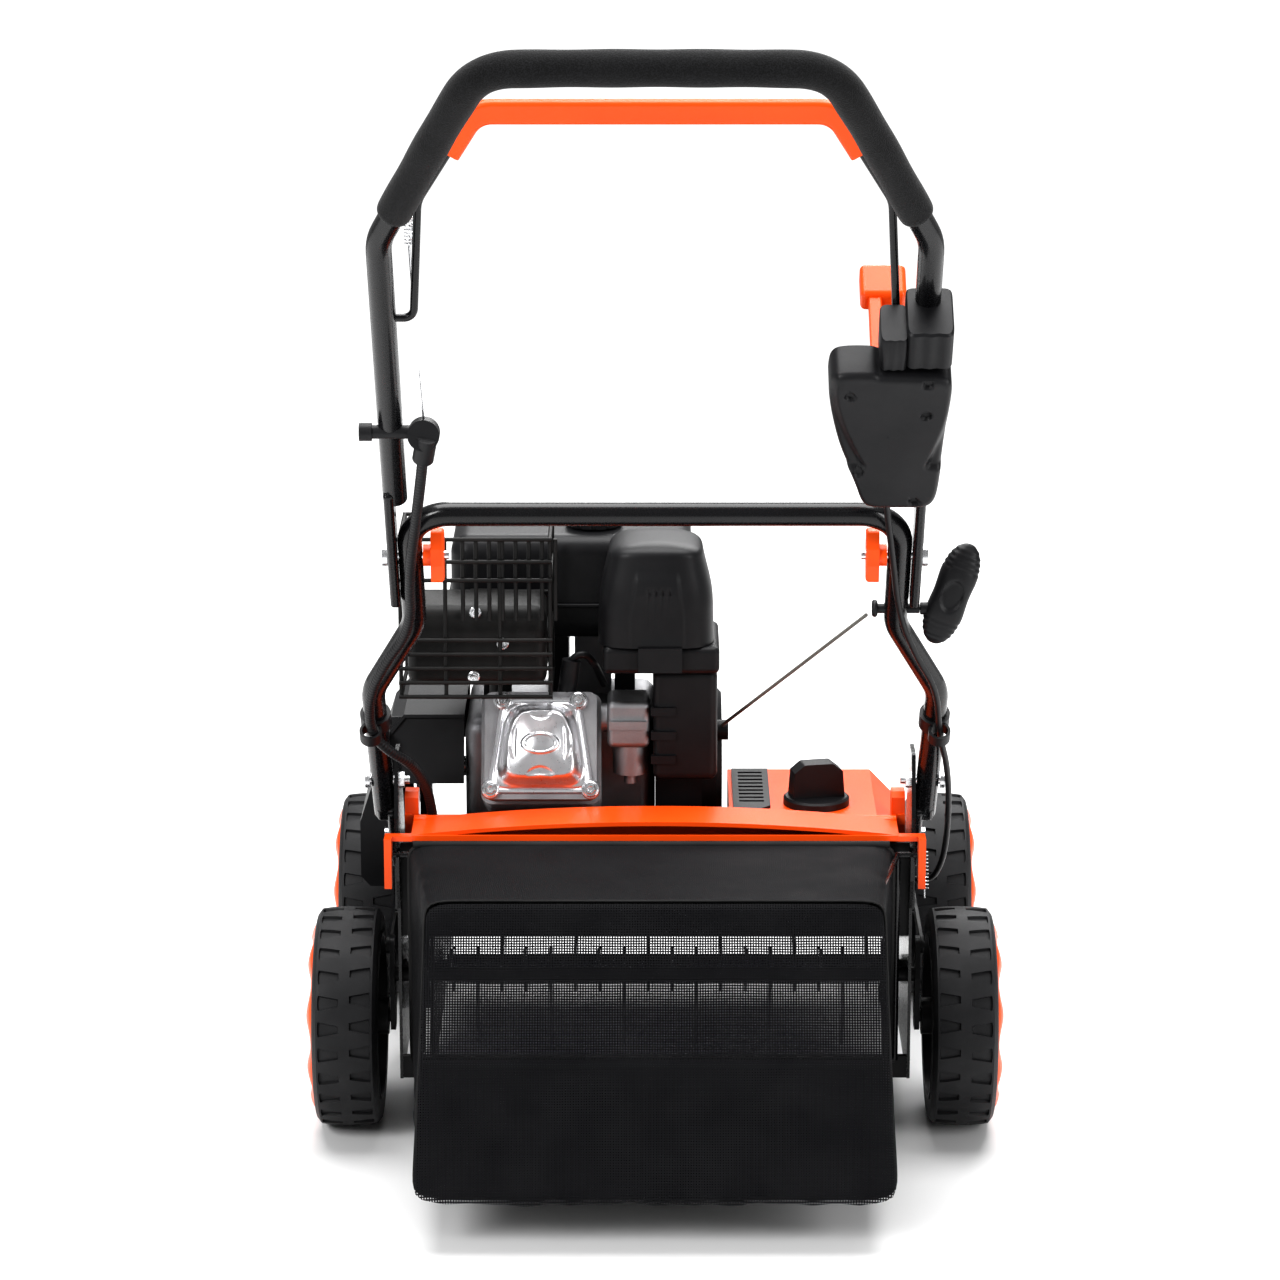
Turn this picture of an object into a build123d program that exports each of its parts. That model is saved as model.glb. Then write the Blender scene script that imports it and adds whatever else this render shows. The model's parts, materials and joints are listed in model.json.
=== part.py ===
"""Petrol lawn scarifier: four wheels, a steel deck with a bladed rotor, a horizontal-shaft
engine, a two-part folding handle and a rear mesh bag. Millimetres, +Z up, +Y forward.

Every place below is measured from the rear axle line at ground level. `save` moves each
finished node by REAR_AXLE_Y, so that the origin lies under the middle of the machine.
"""
import os
from math import cos, pi, radians, sin, tan

from build123d import *

# ---- driving dimensions ---------------------------------------------------------------
REAR_AXLE_Y = 31.0            # rear axle, measured from the middle of the machine
WHEEL_R = 105.0
WHEEL_BASE = 375.0
TYRE_IN, TYRE_OUT = 262.0, 324.0
RIM_OUT = 330.0
RUNNING = 0.05                # radial clearance of a running fit
GAP = 0.3                     # clearance between pieces that pass each other

AXLE_R = 6.0
LIFT_PIVOT_Z = WHEEL_R + 42.0
LIFT_PIVOT_R = 7.0
LINK_PIN_Z = LIFT_PIVOT_Z + 30.0
LINK_PIN_R = 3.0
ARM_IN, ARM_OUT = 249.3, 254.0
AXLES = {"rear": 0.0, "front": WHEEL_BASE}
SIDES = {"left": -1, "right": 1}

PLATE_IN, PLATE_OUT = 242.0, 245.0          # deck side plates
CHAMBER_LEFT = -215.0
ENGINE_BASE_Z = 185.0
DECK_FRONT_Y = 400.0
DECK_REAR_Y = -12.0
COVER_Z = 289.0                             # top of the orange cover
HOOK_Y, HOOK_Z = -28.0, 276.0               # pegs that the bag hangs from

ROTOR_Y, ROTOR_Z, ROTOR_TIP_R = 190.0, 86.0, 80.0
ROTOR_JOURNAL_R = 10.0
BLADES = 18
BLADE_PITCH = 24.4
BELT_X = -229.0
CRANK_Y, CRANK_Z = 221.0, 290.0
CRANK_PULLEY_R, ROTOR_PULLEY_R = 36.0, 38.0
IDLER_R = 20.0
IDLER_PIVOT = (110.0, 230.0)
IDLER_CENTRE = (142.0, 188.0)

TUBE_R, TUBE_WALL = 11.0, 1.5
FOLD_Y, FOLD_Z = -150.0, 599.0              # wing-knob axis
LEG_LEAN = 55.0                             # handle legs above the ground plane, degrees
LOWER_LEG_X = 220.5
UPPER_LEG_X = 231.0
FLAT_IN, FLAT_OUT = 231.8, 240.8            # pressed lower ends of the upper handle
BAIL_S = 306.6                              # bail pivot, up the leg from the knob axis
BAIL_X = 205.0
BAIL_ROD_R = 3.5
LEVER_S, LEVER_OFF = 262.0, -27.0           # lift lever's pivot, along and off the leg
LEVER_X = 190.0
GUIDE_Y, GUIDE_Z = -107.0, 538.0            # starter rope guide
GUIDE_END_X, GRIP_X = 242.0, 271.0

LEG_UP = Vector(0, -cos(radians(LEG_LEAN)), sin(radians(LEG_LEAN)))
LEG_FRONT = Vector(0, sin(radians(LEG_LEAN)), cos(radians(LEG_LEAN)))


# ---- helpers --------------------------------------------------------------------------
def save(name, *solids):
    """Writes one node: its solids, moved to the machine's own origin."""
    moved = [Pos(0, REAR_AXLE_Y, 0) * solid for solid in solids]
    shape = moved[0] if len(moved) == 1 else Compound(children=moved)
    export_step(shape, f"parts/{name}.step")


def largest(shape):
    """The shape without the crumbs that a cut left beside it."""
    return shape.solids().sort_by(SortBy.VOLUME)[-1]


def box(x0, x1, y0, y1, z0, z1):
    return Pos((x0 + x1) / 2, (y0 + y1) / 2, (z0 + z1) / 2) * Box(x1 - x0, y1 - y0, z1 - z0)


def rounded_box(x0, x1, y0, y1, z0, z1, radius):
    shape = box(x0, x1, y0, y1, z0, z1)
    return fillet(shape.edges(), radius)


def rod_x(x0, x1, y, z, radius):
    """Round bar along X."""
    return Pos((x0 + x1) / 2, y, z) * Rot(0, 90, 0) * Cylinder(radius, x1 - x0)


def yz_prism(x0, x1, points, radius=0.0):
    """A (Y, Z) outline, with its corners rounded, drawn out from x0 to x1."""
    face = make_face(Polyline(*points, close=True))
    if radius:
        face = fillet(face.vertices(), radius)
    turned = Plane(origin=(x0, 0, 0), x_dir=(0, 1, 0), z_dir=(1, 0, 0)) * face
    return extrude(turned, x1 - x0, dir=(1, 0, 0))


def xz_prism(y0, y1, points, radius=0.0):
    """An (X, Z) outline drawn out from y0 to y1."""
    face = make_face(Polyline(*points, close=True))
    if radius:
        face = fillet(face.vertices(), radius)
    turned = Plane(origin=(0, y0, 0), x_dir=(1, 0, 0), z_dir=(0, -1, 0)) * face
    return extrude(turned, y1 - y0, dir=(0, 1, 0))


def mirrored(shape, side):
    return shape if side > 0 else mirror(shape, about=Plane.YZ)


def turned_ring(x_profile, y, z):
    """A closed (x, radius) outline turned about the X-parallel axis through y, z."""
    face = make_face(Polyline(*[(x, r) for x, r in x_profile], close=True))
    ring = revolve(face, Axis.X, 360)
    return Pos(0, y, z) * ring


def tube(points, radii, radius, wall=0.0):
    """A bent tube or bar along straight runs joined by arcs."""
    path = FilletPolyline(*points, radius=radii) if len(points) > 2 else Line(*points)
    start = Plane(origin=path @ 0, z_dir=path % 0)
    section = Circle(radius) - Circle(radius - wall) if wall else Circle(radius)
    return sweep(start * section, path=path)


def cord_radii(points):
    """The largest arc that each corner's two runs allow."""
    radii = []
    for before, here, after in zip(points, points[1:], points[2:]):
        one, two = Vector(here) - Vector(before), Vector(after) - Vector(here)
        turn = radians(one.get_angle(two))
        radii.append(round(0.45 * min(one.length, two.length) / tan(turn / 2), 1))
    return radii


def cable(name, points, radius):
    """A held cable: prints its arcs, its length and how its volume compares."""
    radii = cord_radii(points)
    body = tube(points, radii, radius)
    path = FilletPolyline(*points, radius=radii)
    whole = path.length * pi * radius**2
    print(name, "arcs", radii, "length", round(path.length, 1), "volume", round(body.volume / whole, 4))
    return body


def leg_point(x, up, front=0.0):
    """A point beside the handle leg: `up` from the knob axis, `front` off its line."""
    return Vector(x, FOLD_Y, FOLD_Z) + LEG_UP * up + LEG_FRONT * front


def leg_plane(x, up=0.0, front=0.0):
    """A plane across X: local x runs up the leg, local y off its front."""
    return Plane(origin=leg_point(x, up, front), x_dir=LEG_UP, z_dir=(-1, 0, 0))


def leg_block(x0, x1, up0, up1, front0, front1, radius=0.0):
    block = Box(up1 - up0, front1 - front0, x1 - x0)
    if radius:
        block = fillet(block.edges(), radius)
    return leg_plane((x0 + x1) / 2, (up0 + up1) / 2, (front0 + front1) / 2) * block


# ---- wheels and lift linkage ------------------------------------------------------------
def tyre(side, y):
    """Hollow-cored tyre with a crowned tread and a recessed bead."""
    crown = 3.0
    profile = [
        (TYRE_IN, 80), (TYRE_IN, 100), (TYRE_IN + 6, WHEEL_R - crown), (TYRE_IN + 20, WHEEL_R),
        (TYRE_OUT - 20, WHEEL_R), (TYRE_OUT - 6, WHEEL_R - crown), (TYRE_OUT, 100),
        (TYRE_OUT, 94.5), (TYRE_OUT - 6, 94), (TYRE_OUT - 6, 80),
    ]
    return mirrored(turned_ring(profile, y, WHEEL_R), side)


def rim(side, y):
    """Drum, web and hub in one moulding; its domed outer disc overlaps the tyre's bead."""
    bore = AXLE_R + RUNNING
    disc_in = TYRE_OUT - 6 + 0.1
    profile = [
        (256, bore), (320, bore), (320, 0), (RIM_OUT - 2, 0), (RIM_OUT, 30), (RIM_OUT, 76),
        (RIM_OUT - 3, 88), (disc_in, 92), (disc_in, 80), (TYRE_IN + 2, 80), (TYRE_IN + 2, 76),
        (296, 74), (296, 18), (256, 18),
    ]
    return mirrored(turned_ring(profile, y, WHEEL_R), side)


def cranked_axle(y):
    """Cross shaft, two bell cranks and two stub axles, welded into one piece."""
    shaft = rod_x(-ARM_IN, ARM_IN, y, LIFT_PIVOT_Z, LIFT_PIVOT_R)
    for side in SIDES.values():
        outline = [
            (y - 12, WHEEL_R - 12), (y + 12, WHEEL_R - 12), (y + 15, LIFT_PIVOT_Z),
            (y + 8, LINK_PIN_Z + 8), (y - 8, LINK_PIN_Z + 8), (y - 15, LIFT_PIVOT_Z),
        ]
        arm = yz_prism(ARM_IN, ARM_OUT, outline, 6)
        stub = rod_x(ARM_OUT - 1, 318, y, WHEEL_R, AXLE_R)
        pin = rod_x(ARM_OUT - 1, ARM_OUT + 4.5, y, LINK_PIN_Z, LINK_PIN_R)
        shaft += mirrored(arm + stub + pin, side)
    return shaft


def link_rods():
    """Flat bars that make both cranked axles swing together, one on each side."""
    rods = []
    for side in SIDES.values():
        x0, x1 = ARM_OUT + GAP, ARM_OUT + GAP + 3.0
        middle = WHEEL_BASE / 2
        bar = box(x0, x1, 0, WHEEL_BASE, LINK_PIN_Z - 7, LINK_PIN_Z + 7)
        for y in AXLES.values():
            bar += rod_x(x0, x1, y, LINK_PIN_Z, 9)
        for y in AXLES.values():
            bar -= rod_x(x0 - 1, x1 + 1, y, LINK_PIN_Z, LINK_PIN_R + RUNNING)
        bar -= box(x0 - 1, x1 + 1, middle - 30, middle + 30, LINK_PIN_Z - 2.5, LINK_PIN_Z + 2.5)
        rods.append(mirrored(bar, side))
    return rods


# ---- deck -------------------------------------------------------------------------------
def side_plate(side):
    """Deck side plate with shaft holes and a rear hook that the bag's peg drops into."""
    outline = [
        (-20, 48), (DECK_FRONT_Y, 48), (DECK_FRONT_Y, 172), (330, 205), (120, 250), (60, 262),
        (HOOK_Y + 16, HOOK_Z + 6), (HOOK_Y + 7, HOOK_Z + 6), (HOOK_Y + 7, HOOK_Z - 12),
        (HOOK_Y - 7, HOOK_Z - 12), (HOOK_Y - 7, HOOK_Z - 24), (-20, 220),
    ]
    plate = yz_prism(PLATE_IN, PLATE_OUT, outline)
    catch = box(PLATE_IN, PLATE_OUT, HOOK_Y - 9, HOOK_Y + 8, HOOK_Z - 16, HOOK_Z)
    slot_r = 3 + RUNNING
    catch -= rod_x(PLATE_IN - 1, PLATE_OUT + 1, HOOK_Y, HOOK_Z, slot_r)
    catch -= box(PLATE_IN - 1, PLATE_OUT + 1, HOOK_Y - slot_r, HOOK_Y + slot_r, HOOK_Z, HOOK_Z + 5)
    plate += catch
    plate -= rod_x(PLATE_IN - 1, PLATE_OUT + 1, HOOK_Y, HOOK_Z, slot_r)
    for y in AXLES.values():
        plate -= rod_x(PLATE_IN - 1, PLATE_OUT + 1, y, LIFT_PIVOT_Z, LIFT_PIVOT_R + RUNNING)
    plate -= rod_x(PLATE_IN - 1, PLATE_OUT + 1, ROTOR_Y, ROTOR_Z, ROTOR_JOURNAL_R + RUNNING)
    return mirrored(plate, side)


def bent_sheet(x0, x1, points, thickness):
    """A steel sheet bent along a (Y, Z) line, `thickness` to the left of its run."""
    line = Polyline(*points)
    face = make_face(offset(line, amount=thickness, side=Side.LEFT))
    turned = Plane(origin=(x0, 0, 0), x_dir=(0, 1, 0), z_dir=(1, 0, 0)) * face
    return extrude(turned, x1 - x0, dir=(1, 0, 0))


def deck_chamber():
    """Rear wall, engine deck, sloping front, belt-side wall and the low rear rail."""
    line = [
        (DECK_REAR_Y, 283), (DECK_REAR_Y, 190), (40, ENGINE_BASE_Z - 3),
        (340, ENGINE_BASE_Z - 3), (DECK_FRONT_Y - 4, 166), (DECK_FRONT_Y - 4, 50),
    ]
    shell = bent_sheet(-PLATE_IN, PLATE_IN, line, 3)
    wall = yz_prism(CHAMBER_LEFT, CHAMBER_LEFT + 3, [
        (DECK_REAR_Y - 3, 52), (DECK_REAR_Y - 3, 68), (DECK_REAR_Y + 1, 191), (40, ENGINE_BASE_Z - 2),
        (340, ENGINE_BASE_Z - 2), (DECK_FRONT_Y - 3, 165), (DECK_FRONT_Y - 3, 52),
    ])
    wall -= rod_x(CHAMBER_LEFT - 1, CHAMBER_LEFT + 4, ROTOR_Y, ROTOR_Z, ROTOR_JOURNAL_R + RUNNING)
    for y in AXLES.values():
        wall -= rod_x(CHAMBER_LEFT - 1, CHAMBER_LEFT + 4, y, LIFT_PIVOT_Z, LIFT_PIVOT_R + RUNNING)
    rail = box(-PLATE_IN, PLATE_IN, DECK_REAR_Y - 6, DECK_REAR_Y, 48, 70)
    slot = box(CHAMBER_LEFT - 26, CHAMBER_LEFT - 0.2, 100, 290, 170, 200)
    idler_pin = rod_x(CHAMBER_LEFT - 8, CHAMBER_LEFT, *IDLER_PIVOT, 5)
    bracket = box(CHAMBER_LEFT, CHAMBER_LEFT + 3, 98, 150, ENGINE_BASE_Z - 2, 242)
    return shell - slot + wall + rail + bracket + idler_pin


def handle_bracket(side):
    """Upright plate, bolted outside the side plate, that carries the lower handle."""
    outline = [(10, 205), (112, 205), (112, 272), (62, 360), (26, 360), (10, 300)]
    plate = yz_prism(PLATE_OUT, PLATE_OUT + 4, outline, 5)
    for y, z in HANDLE_BOLTS:
        plate -= rod_x(PLATE_OUT - 1, PLATE_OUT + 5, y, z, 4)
    return mirrored(plate, side)


HANDLE_BOLTS = [(38.0, 330.5), (88.0, 259.1)]


def belt_cover():
    """Moulded cover over both pulleys: upper box, flared flank and low flank."""
    outer = [
        (-187, 364), (-246, 364), (-262, 346), (-289, 262), (-289, 206), (-280, 196),
        (-PLATE_OUT - GAP, 196), (-PLATE_OUT - GAP, 300), (-187, 300),
    ]
    inner = [
        (-184, 361), (-245, 361), (-259.5, 344), (-286, 261), (-286, 207), (-279, 199),
        (-PLATE_OUT + 1, 199), (-PLATE_OUT + 1, 297), (-184, 297),
    ]
    shell = xz_prism(122, 292, outer, 0)
    shell -= xz_prism(125, 289, inner, 0)
    bevel = [(118, 160), (118, 370), (150, 370), (126, 300), (122, 262), (122, 160)]
    shell -= yz_prism(-260, -180, bevel)
    rear_wall = yz_prism(-259.9, -187, [(150, 361), (126, 300), (129, 300), (153, 361)])
    return largest(shell + rear_wall + box(-240, -187, 122, 125, 262, 301))


def console_outline(inset):
    """Section of the cover's right-hand console, seen from behind."""
    return [
        (72 + inset, 192), (72 + inset, COVER_Z - inset), (214 - inset / 2, COVER_Z - inset),
        (240 - inset, 262), (240 - inset, 192),
    ]


def top_cover():
    """Orange moulded cover: right console, rear strip and two upright end blocks."""
    console = xz_prism(36, 212, console_outline(0)) - xz_prism(39, 209, console_outline(3))
    console -= box(74, 236, 38, 210, 180, 193)
    strip = box(-240, 73, 36, 60, 250, COVER_Z) - box(-237, 72, 39, 57, 240, COVER_Z - 3)
    cover = console + strip
    for side in SIDES.values():
        block = box(227, 240, 36, 60, 250, 318)
        block = chamfer(block.edges().filter_by(Axis.X).group_by(Axis.Z)[-1], 5)
        cover += mirrored(block, side)
        cover += mirrored(box(233, 240, 33, 40, 287, 297), side)
    cover -= Pos(DIAL_X, DIAL_Y, COVER_Z) * Cylinder(DIAL_STEM_R + RUNNING, 30)
    return cover


DIAL_X, DIAL_Y, DIAL_STEM_R = 157.0, 97.0, 6.0


def vent_insert():
    """Louvred black insert lying on the console, along the engine."""
    face = make_face(Polyline((86, 52), (112, 80), (112, 205), (76, 205), (76, 60), close=True))
    plate = extrude(Plane.XY.offset(COVER_Z) * face, 3)
    for step in range(9):
        y = 92 + 12 * step
        plate -= box(82, 106, y, y + 5, COVER_Z + 1, COVER_Z + 5)
    return plate


def depth_dial():
    """Round base, winged finger grip and a stem through the cover."""
    bottom = COVER_Z + GAP
    base = Pos(DIAL_X, DIAL_Y, bottom + 4) * Cylinder(32, 8)
    base = chamfer(base.edges().group_by(Axis.Z)[-1], 2)
    grip_face = make_face(Polyline(
        (-26, 0), (26, 0), (24, 26), (14, 34), (-14, 34), (-24, 26), close=True))
    grip_face = fillet(grip_face.vertices().group_by(Axis.Y)[-1], 5)
    grip = extrude(Plane.XZ * grip_face, 10, both=True)
    grip = Pos(DIAL_X, DIAL_Y, bottom + 7.5) * Rot(0, 0, 12) * grip
    stem = Pos(DIAL_X, DIAL_Y, bottom - 9) * Cylinder(DIAL_STEM_R, 19)
    return base + grip + stem


FLAP_HINGE_Y, FLAP_HINGE_Z, FLAP_PIN_R = 30.0, 292.0, 3.0


def rear_flap():
    """Arched orange flap over the bag's mouth, with a hinge barrel and two side tabs."""
    width = 231.0
    top = ThreePointArc((-width, 295), (0, 308), (width, 295))
    bottom = ThreePointArc((width, 291.5), (0, 304), (-width, 291.5))
    joins = [Line(top @ 1, bottom @ 0), Line(bottom @ 1, top @ 0)]
    face = make_face([top, bottom, *joins])
    plane = Plane(origin=(0, -26, 0), x_dir=(1, 0, 0), z_dir=(0, -1, 0))
    flap = extrude(plane * face, 52, dir=(0, 1, 0))
    lip = box(-width, width, -29, -26, 290, 295.5)
    flap += lip
    for side in SIDES.values():
        tab = box(230, 256, -30, -20, 290, 295) + box(249, 256, -40, -20, 246, 295)
        flap += mirrored(tab, side)
    barrel = rod_x(-width, width, FLAP_HINGE_Y, FLAP_HINGE_Z, 5.5)
    flap += barrel + box(-width, width, 20, FLAP_HINGE_Y, 291.5, 296.5)
    flap -= rod_x(-width - 1, width + 1, FLAP_HINGE_Y, FLAP_HINGE_Z, FLAP_PIN_R + RUNNING)
    return flap


# ---- rotor and belt drive ---------------------------------------------------------------
def rotor_shaft():
    """Journals at both ends and the row of spacer tubes between the blades."""
    shaft = rod_x(-PLATE_OUT, PLATE_OUT, ROTOR_Y, ROTOR_Z, ROTOR_JOURNAL_R)
    return shaft + rod_x(-208, 236, ROTOR_Y, ROTOR_Z, 15)


def blade_x(index):
    return -202.0 + BLADE_PITCH * index


def rotor_blades():
    """Single-armed steel blades; each is turned a third of a turn from the last."""
    blades = []
    for index in range(BLADES):
        arm = make_face(Polyline(
            (-16, -14), (16, -14), (10, -50), (7, -ROTOR_TIP_R + 2), (-3, -ROTOR_TIP_R),
            (-11, -50), close=True))
        outline = Circle(23) + arm - Circle(15)
        angle = 120 * ((index - 1) % 3)
        plane = Plane(origin=(blade_x(index) - 1.5, ROTOR_Y, ROTOR_Z), x_dir=(0, 1, 0), z_dir=(1, 0, 0))
        blades.append(extrude(plane * Rot(0, 0, angle) * outline, 3, dir=(1, 0, 0)))
    return blades


def pulley(y, z, radius, bore):
    """Grooved belt pulley."""
    half, groove = 8.0, 4.6
    profile = [
        (BELT_X - half, bore), (BELT_X - half, radius), (BELT_X - groove, radius),
        (BELT_X - groove, radius - 6), (BELT_X + groove, radius - 6), (BELT_X + groove, radius),
        (BELT_X + half, radius), (BELT_X + half, bore),
    ]
    return turned_ring(profile, y, z)


def hull_face(radius_shift):
    one = Pos(CRANK_Y, CRANK_Z) * Circle(CRANK_PULLEY_R + radius_shift)
    two = Pos(ROTOR_Y, ROTOR_Z) * Circle(ROTOR_PULLEY_R + radius_shift)
    return make_hull([*one.edges(), *two.edges()])


def belt():
    """Drive belt round both pulleys, a hair clear of the grooves' floors."""
    loop = hull_face(1.5) - hull_face(-6 + GAP)
    plane = Plane(origin=(BELT_X - 4, 0, 0), x_dir=(0, 1, 0), z_dir=(1, 0, 0))
    return extrude(plane * loop, 8, dir=(1, 0, 0))


def idler_arm():
    """Pressed arm from its pin on the deck to the idler pulley's stud."""
    x1 = CHAMBER_LEFT - GAP
    x0 = x1 - 4
    along = [IDLER_PIVOT, IDLER_CENTRE]
    faces = [Pos(y, z) * Circle(10) for y, z in along]
    outline = make_hull([edge for face in faces for edge in face.edges()])
    outline -= Pos(*IDLER_PIVOT) * Circle(5 + RUNNING)
    plane = Plane(origin=(x0, 0, 0), x_dir=(0, 1, 0), z_dir=(1, 0, 0))
    arm = extrude(plane * outline, x1 - x0, dir=(1, 0, 0))
    return arm + rod_x(BELT_X - 9, x0 + 0.5, *IDLER_CENTRE, 5)


def idler_pulley():
    profile = [
        (BELT_X - 7, 5 + RUNNING), (BELT_X - 7, IDLER_R), (BELT_X + 7, IDLER_R), (BELT_X + 7, 5 + RUNNING),
    ]
    return turned_ring(profile, *IDLER_CENTRE)


# ---- engine -----------------------------------------------------------------------------
HEAD_AWAY, HEAD_UP = -0.92, 0.3919          # cylinder axis, as (Y, Z)
CYLINDER_X = -110.0


def cylinder_plane(distance):
    """Across the cylinder, `distance` from the crank: local x = X, local y = up its face."""
    origin = (CYLINDER_X, CRANK_Y + HEAD_AWAY * distance, CRANK_Z + HEAD_UP * distance)
    return Plane(origin=origin, x_dir=(1, 0, 0), z_dir=(0, HEAD_AWAY, HEAD_UP))


def engine_block():
    """Crankcase on its foot, sloping cylinder with cooling fins, and cylinder head."""
    case = rounded_box(-186, 0, 135, 300, 196, 362, 14)
    foot = rounded_box(-186, 6, 92, 308, ENGINE_BASE_Z, 199, 4)
    block = case + foot
    block += extrude(cylinder_plane(60) * Rectangle(84, 84), 112)
    for index in range(8):
        block += extrude(cylinder_plane(74 + 10 * index) * fillet(Rectangle(116, 108).vertices(), 10), 3)
    block += extrude(cylinder_plane(158) * fillet(Rectangle(108, 104).vertices(), 8), 14)
    block += box(-80, -44, 235, 290, 360, 431.5)
    block -= rod_x(-190, -150, CRANK_Y, CRANK_Z, 10 + RUNNING)
    return block


def cover_outline(grow):
    bottom, top, half_height = 52 + grow, 38 + grow, 47 + grow
    points = [(-bottom, -half_height), (bottom, -half_height), (top, half_height), (-top, half_height)]
    return fillet(make_face(Polyline(*points, close=True)).vertices(), 12)


def valve_cover():
    """Pressed rocker cover: flange with four bolt lobes and a domed middle."""
    flange = extrude(cylinder_plane(172.05) * cover_outline(0), 4)
    for x, y in VALVE_BOLTS:
        flange += extrude(cylinder_plane(172.05) * Pos(x, y) * Circle(8.5), 4)
    dome = loft([cylinder_plane(176) * cover_outline(-8), cylinder_plane(194) * cover_outline(-18)])
    boss = extrude(cylinder_plane(193) * Ellipse(19, 11), 4)
    return flange + dome + boss


VALVE_BOLTS = [(-48, -43), (48, -43), (36, 43), (-36, 43)]


def engine_screws():
    """Flanged bolts of the rocker cover and the muffler, and the drain bolt."""
    screws = []
    for x, y in VALVE_BOLTS:
        head = extrude(cylinder_plane(176.1) * Pos(x, y) * RegularPolygon(5, 6), 6)
        screws.append(head + extrude(cylinder_plane(176.1) * Pos(x, y) * Circle(7), 1.5))
    for x, z in [(-172, 487), (-146, 456), (-174, 423)]:
        screws.append(Pos(x, MUFFLER_Y - 2, z) * Rot(90, 0, 0) * Cylinder(4, 4))
    return screws


MUFFLER_Y = 74.0


def muffler():
    """Pressed silencer box on its exhaust pipe."""
    body = rounded_box(-238, -104, MUFFLER_Y, 150, 412, 492, 12)
    body += rod_x(-104, -102.5, 112, 452, 20)
    pipe = tube([(-150, 120, 420), (-150, 120, 385), (-150, 95, 362)], 12, 11)
    return largest(body + pipe - engine_block())


def muffler_guard():
    """Wire cage round the silencer: two side hoops, long wires and rows of uprights."""
    wire = 2.0
    x0, x1, y0, y1, z0, z1 = -245.0, -98.0, 56.0, 160.0, 408.0, 563.0
    parts = []
    levels = [z0, z0 + 14, z0 + 28, z0 + 42, z0 + 56, z1 - 40, z1 - 22, z1]
    for z in levels:
        parts.append(rod_x(x0, x1, y0, z, wire))
    for z in [z0, (z0 + z1) / 2, z1]:
        parts.append(rod_x(x0, x1, y1, z, wire))
    uprights = [x0 + wire, x0 + 45, x1 - 50, x1 - wire]
    for x in uprights:
        parts.append(Pos(x, y0 + 3, (z0 + z1) / 2) * Cylinder(wire, z1 - z0))
    for step in range(8):
        x = -183 + 12.6 * step
        parts.append(Pos(x, y0 + 3, z1 - 40) * Cylinder(wire, 80))
    for x in [x0 + wire, x1 - wire]:
        for z in [z0, z0 + 56, z1 - 40, z1]:
            parts.append(Pos(x, (y0 + y1) / 2, z) * Rot(90, 0, 0) * Cylinder(wire, y1 - y0))
        parts.append(Pos(x, y1, (z0 + z1) / 2) * Cylinder(wire, z1 - z0))
    stay = box(-180, -150, 150.05, 162, 482, 488)
    return Part() + [*parts, stay]


def air_cleaner_cover():
    """Tall moulded filter cover with a faceted top and a grooved middle."""
    outline = [(-54, 455), (57, 455), (56, 500), (44, 548), (38, 554), (-34, 554), (-40, 548), (-55, 500)]
    cover = xz_prism(58, 166, outline)
    front = cover.faces().sort_by(Axis.Y)[0]
    cover = chamfer(front.edges(), 5)
    for step in range(4):
        x = -8 + 7 * step
        cover -= box(x, x + 3, 50, 60, 470, 515)
    return cover


def air_cleaner_base():
    """Tray under the cover, its clip, and the ribbed intake duct going down."""
    base = rounded_box(-50, 62, 62, 168, 428, 454.9, 6)
    clip = box(-16, 26, 54, 62, 432, 456)
    duct = rounded_box(-2, 60, 68, 122, 320, 430, 8)
    for step in range(3):
        duct += box(-4, 20, 65, 72, 338 + 24 * step, 346 + 24 * step)
    return base + clip + duct


def carburettor():
    """Cast body with its float bowl, drain bolt and the intake pipe to the head."""
    body = rounded_box(-46, -5, 70, 122, 352, 398, 6)
    bowl = Pos(-24, 92, 338) * Cylinder(17, 30) + Pos(-24, 92, 318) * Cylinder(6, 12)
    throat = rod_x(-51.9, -6, 96, 376, 14)
    choke_stub = box(-44, -8, 66, 74, 372, 380)
    return body + bowl + throat + choke_stub


def plug_lead():
    """Rubber boot on the spark plug and its thick lead down to the coil."""
    boot = Pos(-83, 92, 418) * Rot(0, 8, 0) * Cylinder(9, 34)
    lead = tube([(-81, 92, 434), (-70, 88, 446), (-58, 100, 428), (-50, 150, 395)], [9, 14], 3.5)
    return largest(boot + lead - engine_block())


def fuel_tank():
    """Rounded tank with its welded seam."""
    body = rounded_box(-200, 36, 174, 330, 432, 536, 18)
    seam = rounded_box(-204, 40, 170, 334, 466, 470, 1.5)
    neck = Pos(CAP_X, CAP_Y, 541) * Cylinder(20, 12)
    feet = Part() + [box(x, x + 20, 210, 295, 362, 434) for x in (-170, -106, -40)]
    return body + seam + neck + feet


CAP_X, CAP_Y = -60.0, 226.0


def fuel_cap():
    """Ribbed screw cap over the filler neck."""
    cap = Pos(CAP_X, CAP_Y, 544) * Cylinder(28, 12)
    cap = fillet(cap.edges().group_by(Axis.Z)[-1], 4)
    cap -= Pos(CAP_X, CAP_Y, 541) * Cylinder(20 + RUNNING, 13)
    for step in range(12):
        turn = Pos(CAP_X, CAP_Y, 547) * Rot(0, 0, 30 * step)
        cap -= turn * Pos(28.5, 0, 0) * Cylinder(2.5, 20)
    return cap


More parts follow.
